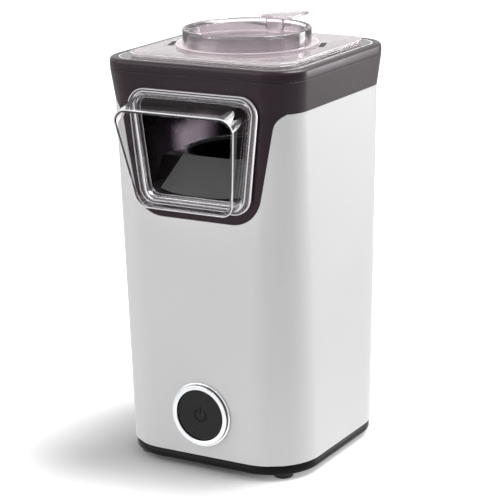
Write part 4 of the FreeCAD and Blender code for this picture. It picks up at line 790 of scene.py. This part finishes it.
def make_ramp(finish):
    """Sheet that slopes to the front: straight along the slope, and turned up a little along both sides."""
    thick, edge, back_half, inset, margin, rise = 1.0, 0.2, 23.5, 0.4, 0.3, 1.2
    front_bow, front_lift, sink = 1.5, 1.5, 0.1
    down = np.linspace(0, 1, 12)[:, None]
    across = np.linspace(-1, 1, 41)[None, :]
    half = back_half + (ramp_high[0] - back_half) * down
    y = ramp_high[1] + (ramp_low[1] + inset - ramp_high[1]) * down + front_bow * across ** 2 * down
    drop = (ramp_high[1] - y) / (ramp_high[1] - ramp_low[1])
    level = ramp_high[2] + (ramp_low[2] + front_lift - ramp_high[2]) * drop
    level = level + rise * np.clip((np.abs(across) - 1 + margin) / margin, 0, 1)
    points = np.stack(np.broadcast_arrays(half * across, y, level - sink), -1)
    faces = grid(*points.shape[:2], False, False)
    item = piece("ramp_sheet", points.reshape(-1, 3), faces, "housing", "ramp_plastic", finish,
                 ["chute_ramp"], sharp=5.0)
    thicken(item, thick, edge)


def make_chamber_edge(finish):
    """Fine bright edge of the pot's mouth, which shows above its seal: a small square section, turned."""
    seal_top = span("chamber_seal")[1][2]
    mouth, width, height = 44.0, 0.7, 0.5
    section = rounded([
        (mouth, seal_top, 0),
        (mouth, seal_top + height, 0.1),
        (mouth + width, seal_top + height, 0.1),
        (mouth + width, seal_top, 0),
    ], 3, False)
    points, faces = turned(section, np.array((0, AXIS_Y, 0)), (0, 0, 1))
    piece("chamber_edge", points, faces, "housing", "chamber_aluminium", finish)


def make_feet(finish):
    """Rubber feet, turned, with a rounded lower edge."""
    for corner in ("back_right", "back_left", "front_left", "front_right"):
        low, high = span("foot_" + corner)
        radius = (high[0] - low[0]) / 2
        profile = rounded([(0, 0, 0), (radius, 0, 1.4), (radius, high[2], 0.3), (0, high[2], 0)], 6, False)
        centre = np.array(((low[0] + high[0]) / 2, (low[1] + high[1]) / 2, 0))
        piece("rubber_foot_" + corner, *turned(profile, centre, (0, 0, 1), 48), "housing", "foot_rubber",
              finish, ["foot_" + corner])


def dressed(name, node, finish, sharp=30.0):
    """A merged copy of a frame node on the housing, shaded smooth, with its own finish."""
    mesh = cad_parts[node].data.copy()
    mesh.materials.clear()
    mesh.materials.append(finish)
    clean(mesh, sharp)
    item = placed(name, mesh)
    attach(item, "housing")
    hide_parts(node)
    return item


# Materials

def add(tree, kind, sockets=None, **settings):
    """Add a node with its settings, and set or link its input sockets."""
    item = tree.nodes.new(kind)
    for key, value in settings.items():
        setattr(item, key, value)
    for key, value in (sockets or {}).items():
        if isinstance(value, bpy.types.NodeSocket):
            tree.links.new(value, item.inputs[key])
        else:
            item.inputs[key].default_value = value
    return item


def started(name):
    """A new material: its empty tree and the object coordinates."""
    finish = bpy.data.materials.new(name)
    finish.use_nodes = True
    tree = finish.node_tree
    tree.nodes.clear()
    return finish, tree, add(tree, "ShaderNodeTexCoord").outputs["Object"]


def ended(tree, shader):
    """Join the shader to the material's output."""
    add(tree, "ShaderNodeOutputMaterial", {"Surface": shader.outputs[0]})


def patterned(tree, place, dark, pale, cloud, rough, rough_spread):
    """Colour that drifts between two tones over patches of a size, and roughness that drifts with it."""
    clouds = add(tree, "ShaderNodeTexNoise", {"Vector": place, "Scale": 1 / (cloud * MM), "Detail": 4.0})
    tint = add(tree, "ShaderNodeMix", {"Factor": clouds.outputs["Fac"], 6: srgb(dark), 7: srgb(pale)},
               data_type="RGBA")
    sheen = add(tree, "ShaderNodeMapRange", {
        "Value": clouds.outputs["Fac"], "From Min": 0.3, "From Max": 0.7,
        "To Min": rough - rough_spread, "To Max": rough + rough_spread})
    return tint.outputs[2], sheen.outputs[0]


def moulded(name, dark, pale, rough, grain, depth, cloud, mirror=0.5, shine="ffffff", painted_light=None):
    """Moulded plastic or rubber: the mould's fine eroded grain as bumps, and faint drifts of tone and sheen.

    grain is the size of the bumps, depth their height and cloud the size of the drifts, in millimetres.
    mirror is how strongly the surface reflects, and 0.5 is a clean polish, and shine is the reflection's
    colour. painted_light is a pale patch of painted light: its colour and its limits, an axis, where it ends,
    and where it is full.
    """
    finish, tree, place = started(name)
    tint, sheen = patterned(tree, place, dark, pale, cloud, rough, rough_spread=0.05)
    # Painted light: a pale patch mixed into the colour within the limits
    if painted_light:
        colour, limits = painted_light
        spot = add(tree, "ShaderNodeSeparateXYZ", {0: place})
        share = 1.0
        for axis, none, full in limits:
            share = add(tree, "ShaderNodeMapRange", {
                "Value": spot.outputs[axis], "From Min": none * MM, "From Max": full * MM, "To Max": share},
                interpolation_type="SMOOTHSTEP").outputs[0]
        tint = add(tree, "ShaderNodeMix", {"Factor": share, 6: tint, 7: srgb(colour)},
                   data_type="RGBA").outputs[2]
    bumps = add(tree, "ShaderNodeTexNoise", {"Vector": place, "Scale": 1 / (grain * MM), "Detail": 2.0})
    relief = add(tree, "ShaderNodeBump", {
        "Height": bumps.outputs["Fac"], "Distance": depth * MM, "Strength": 0.6})
    ended(tree, add(tree, "ShaderNodeBsdfPrincipled", {
        "Base Color": tint, "Roughness": sheen, "IOR": 1.5, "Specular IOR Level": mirror,
        "Specular Tint": srgb(shine), "Normal": relief.outputs[0]}))
    return finish


def metal(name, dark, pale, rough, line, stretch, depth):
    """Bare or plated metal: fine drawn or turned lines as bumps, stretched one way, and drifts of sheen.

    line is the spacing of the lines and depth their height, in millimetres.
    """
    finish, tree, place = started(name)
    tint, sheen = patterned(tree, place, dark, pale, cloud=12.0, rough=rough, rough_spread=rough / 4)
    drawn = add(tree, "ShaderNodeMapping", {"Vector": place, "Scale": stretch})
    lines = add(tree, "ShaderNodeTexNoise", {
        "Vector": drawn.outputs[0], "Scale": 1 / (line * MM), "Detail": 2.0})
    relief = add(tree, "ShaderNodeBump", {
        "Height": lines.outputs["Fac"], "Distance": depth * MM, "Strength": 0.5})
    ended(tree, add(tree, "ShaderNodeBsdfPrincipled", {
        "Base Color": tint, "Metallic": 1.0, "Roughness": sheen, "Normal": relief.outputs[0]}))
    return finish


def clear(name, colour, through, rough, wave, depth):
    """Clear moulded plastic: light passes through but for a little haze, with faint flow waves on it."""
    finish, tree, place = started(name)
    waves = add(tree, "ShaderNodeTexNoise", {"Vector": place, "Scale": 1 / (wave * MM), "Detail": 1.0})
    relief = add(tree, "ShaderNodeBump", {
        "Height": waves.outputs["Fac"], "Distance": depth * MM, "Strength": 0.5})
    sheen = add(tree, "ShaderNodeMapRange", {
        "Value": waves.outputs["Fac"], "To Min": rough, "To Max": rough * 2})
    ended(tree, add(tree, "ShaderNodeBsdfPrincipled", {
        "Base Color": srgb(colour), "Roughness": sheen.outputs[0], "IOR": 1.58,
        "Transmission Weight": through, "Normal": relief.outputs[0]}))
    return finish


# Satin white ABS: a spark-eroded mould leaves a fine matt grain with a soft broad highlight
white_abs = moulded("satin_white_abs", "dededf", "e4e4e4", 0.42, 0.7, 0.012, 60.0)
# Satin black ABS: the same grain, dark with a slight warm purple cast, and a broad grey sheen
black_abs = moulded("satin_black_abs", "1d0d15", "23121a", 0.3, 0.6, 0.008, 40.0, 0.37, "fff5fd")
# Black polypropylene of the base: waxy and duller
base_pp = moulded("black_polypropylene", "0a0809", "0f0c0e", 0.35, 0.8, 0.01, 30.0, 0.12)
# Black ABS of the button's cap, polished a little by fingers
button_abs = moulded("polished_black_abs", "0d0b0c", "121011", 0.25, 0.8, 0.004, 15.0, 0.26)
# Glossy black pad-printed mark on the button, only just darker than the cap
mark_ink = moulded("black_printing_ink", "040304", "060506", 0.2, 0.4, 0.004, 6.0, 0.12)
# Black rubber of the feet and the gland, dull, with a slight bloom; the same black is painted shade in dark
# slots and in the dark line round the button
rubber = moulded("black_rubber_and_painted_shade", "0e0e0e", "161616", 0.5, 0.5, 0.02, 8.0, 0.3)
# Heat-proof black plastic of the duct: polished in the mould, with a pale patch of painted light at one side,
# where light falls on its back wall
heat_plastic = moulded("glossy_heat_proof_plastic", "0d090b", "130e11", 0.25, 2.0, 0.01, 25.0, 0.2,
                       painted_light=("9c909c", (("Y", -26.0, -2.0), ("Y", 40.0, 20.0), ("Z", 240.0, 226.0))))
# Grey heat-proof sheet of the ramp
ramp_plastic = moulded("grey_heat_proof_plastic", "444644", "4d4f4d", 0.45, 0.6, 0.01, 18.0, 0.3)
# Phenolic plastic of switch, nuts and end cap: very dark brown, with a dull pressed surface
inner_plastic = moulded("phenolic_plastic", "231f1e", "2d2826", 0.45, 0.6, 0.015, 12.0)
# Undyed and white nylon of blower, plunger and fan: cream to white, faintly waxy
blower_plastic = moulded("natural_nylon", "c9c3b4", "d6d1c4", 0.5, 0.8, 0.015, 20.0)
fan_plastic = moulded("white_nylon", "d5d2ca", "dfdcd6", 0.4, 0.8, 0.01, 15.0)
# Silicone rubber of the pot's seal: black and matt
seal_rubber = moulded("black_silicone_rubber", "17161a", "201e22", 0.6, 0.5, 0.015, 8.0)
# Pressed mica board: mottled tan flakes under a little gloss
mica = moulded("mica_board", "a98f6c", "c4ab86", 0.4, 1.6, 0.03, 4.0)
# Sintered ferrite magnets: dark grey and stony
ferrite = moulded("sintered_ferrite", "2b2b2d", "3a3a3c", 0.6, 0.3, 0.02, 3.0)
# Glass epoxy board: green lacquer over a fine weave
circuit_board = moulded("glass_epoxy_board", "2a5a3a", "316644", 0.4, 0.4, 0.01, 4.0)
# Bright chrome plate over moulded plastic: a mirror with a trace of orange peel
chrome = metal("bright_chrome_plate", "dfe1e3", "e9eaec", 0.07, 3.0, (1, 1, 1), 0.004)
# Spun aluminium: turned lines round the pot
aluminium = metal("spun_aluminium", "b9bbbd", "cccecf", 0.28, 0.5, (0.15, 0.15, 1), 0.01)
# The pot is spun aluminium, coloured nearly black: painted shade for the dark depth under the chute
aluminium_painted_dark = metal("aluminium_in_painted_shade", "161516", "1e1d1e", 0.4, 0.5, (0.15, 0.15, 1), 0.01)
# Zinc, nickel and drawn steels: zinc is greyish with soft lines, and screws and springs are brighter
zinc_steel = metal("zinc_plated_steel", "a5a8ab", "bbbec0", 0.32, 0.8, (1, 1, 0.2), 0.01)
screw_steel = metal("nickel_plated_steel", "9a9b9c", "b4b5b5", 0.25, 0.3, (1, 1, 1), 0.006)
spring_steel = metal("drawn_spring_steel", "8e9092", "a5a7a9", 0.3, 0.2, (1, 1, 1), 0.004)
# Nickel-chrome wire: a dull brown-grey from heat
heating_wire = metal("nickel_chrome_wire", "7d766f", "938b82", 0.4, 0.2, (1, 1, 1), 0.005)
# Enamelled copper wire: reddish, and ribbed by its turns
copper = metal("enamelled_copper_wire", "9a5230", "b5683e", 0.3, 0.4, (1, 1, 0.2), 0.02)
# Sintered bronze of the bushes, and the terminals: dull gold
brass = metal("sintered_bronze", "9b7a43", "b08e55", 0.38, 0.3, (1, 1, 1), 0.01)
# Clear polycarbonate: a glossy moulding with a faint grey-violet cast
polycarbonate = clear("clear_polycarbonate", "f6f4f6", 1.0, 0.004, 40.0, 0.001)
# Clear styrene of the lid's ring and flange and of the cup: softer, with hardly any haze
styrene = clear("clear_styrene", "f1ecef", 0.985, 0.006, 24.0, 0.003)
# The same styrene in the lid's plate and the cup's tab, with about a fifth of the light scattered as a pale
# haze that brightens them
hazy_styrene = clear("hazy_clear_styrene", "e4dcdf", 0.8, 0.012, 24.0, 0.006)
# Painted highlight on the moulded edges of visor and lid: a pale, nearly opaque bead that stands in for the
# light the sheet gathers inside and lets out as bright lines
edge_highlight_polycarbonate = clear("polycarbonate_edge_painted_highlight", "f6f5f7", 0.08, 0.2, 24.0, 0.004)

FINISHES = {
    "casing_plastic": white_abs,
    "collar_plastic": black_abs,
    "base_plastic": base_pp,
    "foot_rubber": rubber,
    "clear_plastic": polycarbonate,
    "duct_plastic": heat_plastic,
    "ramp_plastic": ramp_plastic,
    "chamber_aluminium": aluminium,
    "seal_rubber": seal_rubber,
    "inner_steel": zinc_steel,
    "mica": mica,
    "heating_wire": heating_wire,
    "dark_inner_plastic": inner_plastic,
    "fuse_metal": zinc_steel,
    "blower_plastic": blower_plastic,
    "fan_plastic": fan_plastic,
    "bearing_brass": brass,
    "magnet_ferrite": ferrite,
    "circuit_board": circuit_board,
    "steel": screw_steel,
    "spring_steel": spring_steel,
    "copper": copper,
    "chrome_ring": chrome,
    "button_plastic": button_abs,
    "plunger_plastic": blower_plastic,
    "gland_plastic": rubber,
}
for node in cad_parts.values():
    for place in node.material_slots:
        place.material = FINISHES[place.material.name]

# Pieces
make_casing(white_abs)
make_collar(black_abs)
make_seat(black_abs, rubber)
make_rim(black_abs)
make_lid(hazy_styrene, styrene, edge_highlight_polycarbonate, rubber)
make_cup(styrene, hazy_styrene)
make_visor(polycarbonate, edge_highlight_polycarbonate)
make_button(chrome, rubber, button_abs, mark_ink)
make_feet(rubber)
make_ramp(ramp_plastic)
make_chamber_edge(aluminium)
dressed("base_moulding", "base_tray", base_pp)
dressed("duct_moulding", "chute_duct", heat_plastic)
# The pot takes the nearly black aluminium: painted shade
dressed("chamber_pot", "popping_chamber", aluminium_painted_dark)
dressed("gland_bush", "cord_gland", rubber)
spring = dressed("return_spring", "button_spring", spring_steel, 60.0)
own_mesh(spring)


# Floor, light and camera

def seen(tree, gloss):
    """One for rays that show the background: from the camera, through clear plastic and, if so, off gloss."""
    path = add(tree, "ShaderNodeLightPath")
    total = path.outputs["Is Camera Ray"]
    others = ["Is Transmission Ray", "Is Glossy Ray"] if gloss else ["Is Transmission Ray"]
    for ray in others:
        total = add(tree, "ShaderNodeMath", {0: total, 1: path.outputs[ray]}, operation="MAXIMUM").outputs[0]
    return total


def make_floor():
    """A flat pale sheet: matt white, with a little of its own light for rays that show the background.

    That light grows with the distance from a square under the part, so that the shadow stays near the part.
    """
    side = np.linspace(-FLOOR_HALF, FLOOR_HALF, FLOOR_POINTS)
    x, y = np.meshgrid(side, side)
    points = np.stack((x, y, 0 * x), -1).reshape(-1, 3)
    mesh = bpy.data.meshes.new("studio_floor")
    mesh.from_pydata(points.tolist(), [], grid(FLOOR_POINTS, FLOOR_POINTS, False, False).tolist())
    paper, tree, place = started("white_studio_paper")
    matt = add(tree, "ShaderNodeBsdfDiffuse", {"Color": srgb("efefef")})
    past = place
    for operation, other in (("SUBTRACT", FLOOR_DARK_CENTRE), ("ABSOLUTE", (0, 0, 0)),
                             ("SUBTRACT", FLOOR_DARK_HALF), ("MAXIMUM", (0, 0, 0))):
        past = add(tree, "ShaderNodeVectorMath", {0: past, 1: other}, operation=operation).outputs[0]
    beyond = add(tree, "ShaderNodeVectorMath", {0: past}, operation="LENGTH")
    away = add(tree, "ShaderNodeVectorMath", {0: place}, operation="LENGTH")
    grown = add(tree, "ShaderNodeMapRange", {
        "Value": beyond.outputs["Value"], "From Min": FLOOR_LIFT_REACH[0], "From Max": FLOOR_LIFT_REACH[1],
        "To Min": FLOOR_LIFT[0], "To Max": FLOOR_LIFT[1]}, interpolation_type="SMOOTHSTEP")
    lift = add(tree, "ShaderNodeMath", {0: seen(tree, False), 1: grown.outputs[0]}, operation="MULTIPLY")
    # Painted reflection: near the part the floor glows more for glossy rays alone, which brightens gloss on
    # the part's lower sides
    near = add(tree, "ShaderNodeMapRange", {
        "Value": away.outputs["Value"], "From Min": FLOOR_MIRROR_REACH[0], "From Max": FLOOR_MIRROR_REACH[1],
        "To Min": FLOOR_MIRROR_LIFT, "To Max": 0.0}, interpolation_type="SMOOTHSTEP")
    gloss = add(tree, "ShaderNodeLightPath").outputs["Is Glossy Ray"]
    lift = add(tree, "ShaderNodeMath", {0: gloss, 1: near.outputs[0], 2: lift.outputs[0]},
               operation="MULTIPLY_ADD")
    glow = add(tree, "ShaderNodeEmission", {"Color": (1, 1, 1, 1), "Strength": lift.outputs[0]})
    ended(tree, add(tree, "ShaderNodeAddShader", {0: matt.outputs[0], 1: glow.outputs[0]}))
    mesh.materials.append(paper)
    floor = placed("studio_floor", mesh)


def make_world():
    """White where it is seen, and an even dimmer light on everything else."""
    world = bpy.data.worlds.new("studio")
    bpy.context.scene.world = world
    world.use_nodes = True
    tree = world.node_tree
    tree.nodes.clear()
    white = add(tree, "ShaderNodeBackground", {"Color": (1, 1, 1, 1), "Strength": 1.0})
    fill = add(tree, "ShaderNodeBackground", {"Color": (1, 1, 1, 1), "Strength": WORLD_FILL})
    both = add(tree, "ShaderNodeMixShader", {0: seen(tree, True), 1: fill.outputs[0], 2: white.outputs[0]})
    add(tree, "ShaderNodeOutputWorld", {"Surface": both.outputs[0]})


def make_softbox(name, place, size, power, gloss_only=False):
    """A square soft light that faces the middle of the tower, or a bright card that only gloss shows."""
    lamp = bpy.data.lights.new(name, "AREA")
    lamp.shape = "SQUARE"
    lamp.size = size
    lamp.energy = power
    item = placed(name, lamp)
    item.location = place
    item.visible_diffuse = not gloss_only
    middle = Vector((0, AXIS_Y * MM, SEAM / 2 * MM))
    item.rotation_euler = (middle - item.location).to_track_quat("-Z", "Y").to_euler()


def make_camera():
    """A long lens at the photograph's angle, rolled by a degree."""
    azimuth, elevation, roll = map(math.radians, (CAMERA_AZIMUTH, CAMERA_ELEVATION, CAMERA_ROLL))
    right = Vector((math.cos(azimuth), math.sin(azimuth), 0))
    back = Vector((math.cos(elevation) * math.sin(azimuth), -math.cos(elevation) * math.cos(azimuth),
                   math.sin(elevation)))
    up = back.cross(right)
    across = right * math.cos(roll) + up * math.sin(roll)
    along = up * math.cos(roll) - right * math.sin(roll)
    target = Vector((0, AXIS_Y * MM, TARGET_LEVEL * MM)) - right * TARGET_LEFT * MM
    camera = bpy.data.cameras.new("studio_camera")
    camera.lens = CAMERA_LENS
    camera.sensor_width = CAMERA_SENSOR
    item = placed("studio_camera", camera)
    place = target + back * CAMERA_DISTANCE * MM
    item.matrix_world = Matrix.Translation(place) @ Matrix((across, along, back)).transposed().to_4x4()
    bpy.context.scene.camera = item


make_floor()
make_world()
make_softbox("softbox_top", (0.65, 0.35, 1.5), 0.8, 17.0)
make_softbox("softbox_low", (0.75, 1.05, 0.25), 0.4, 3.3)
make_softbox("bright_card", (0.5, 0.5, 1.1), 0.9, 13.0, gloss_only=True)
make_softbox("softbox_left", (-1.3, -1.3, 1.1), 2.0, 19.0)
make_camera()
bpy.context.scene.view_settings.view_transform = "Standard"
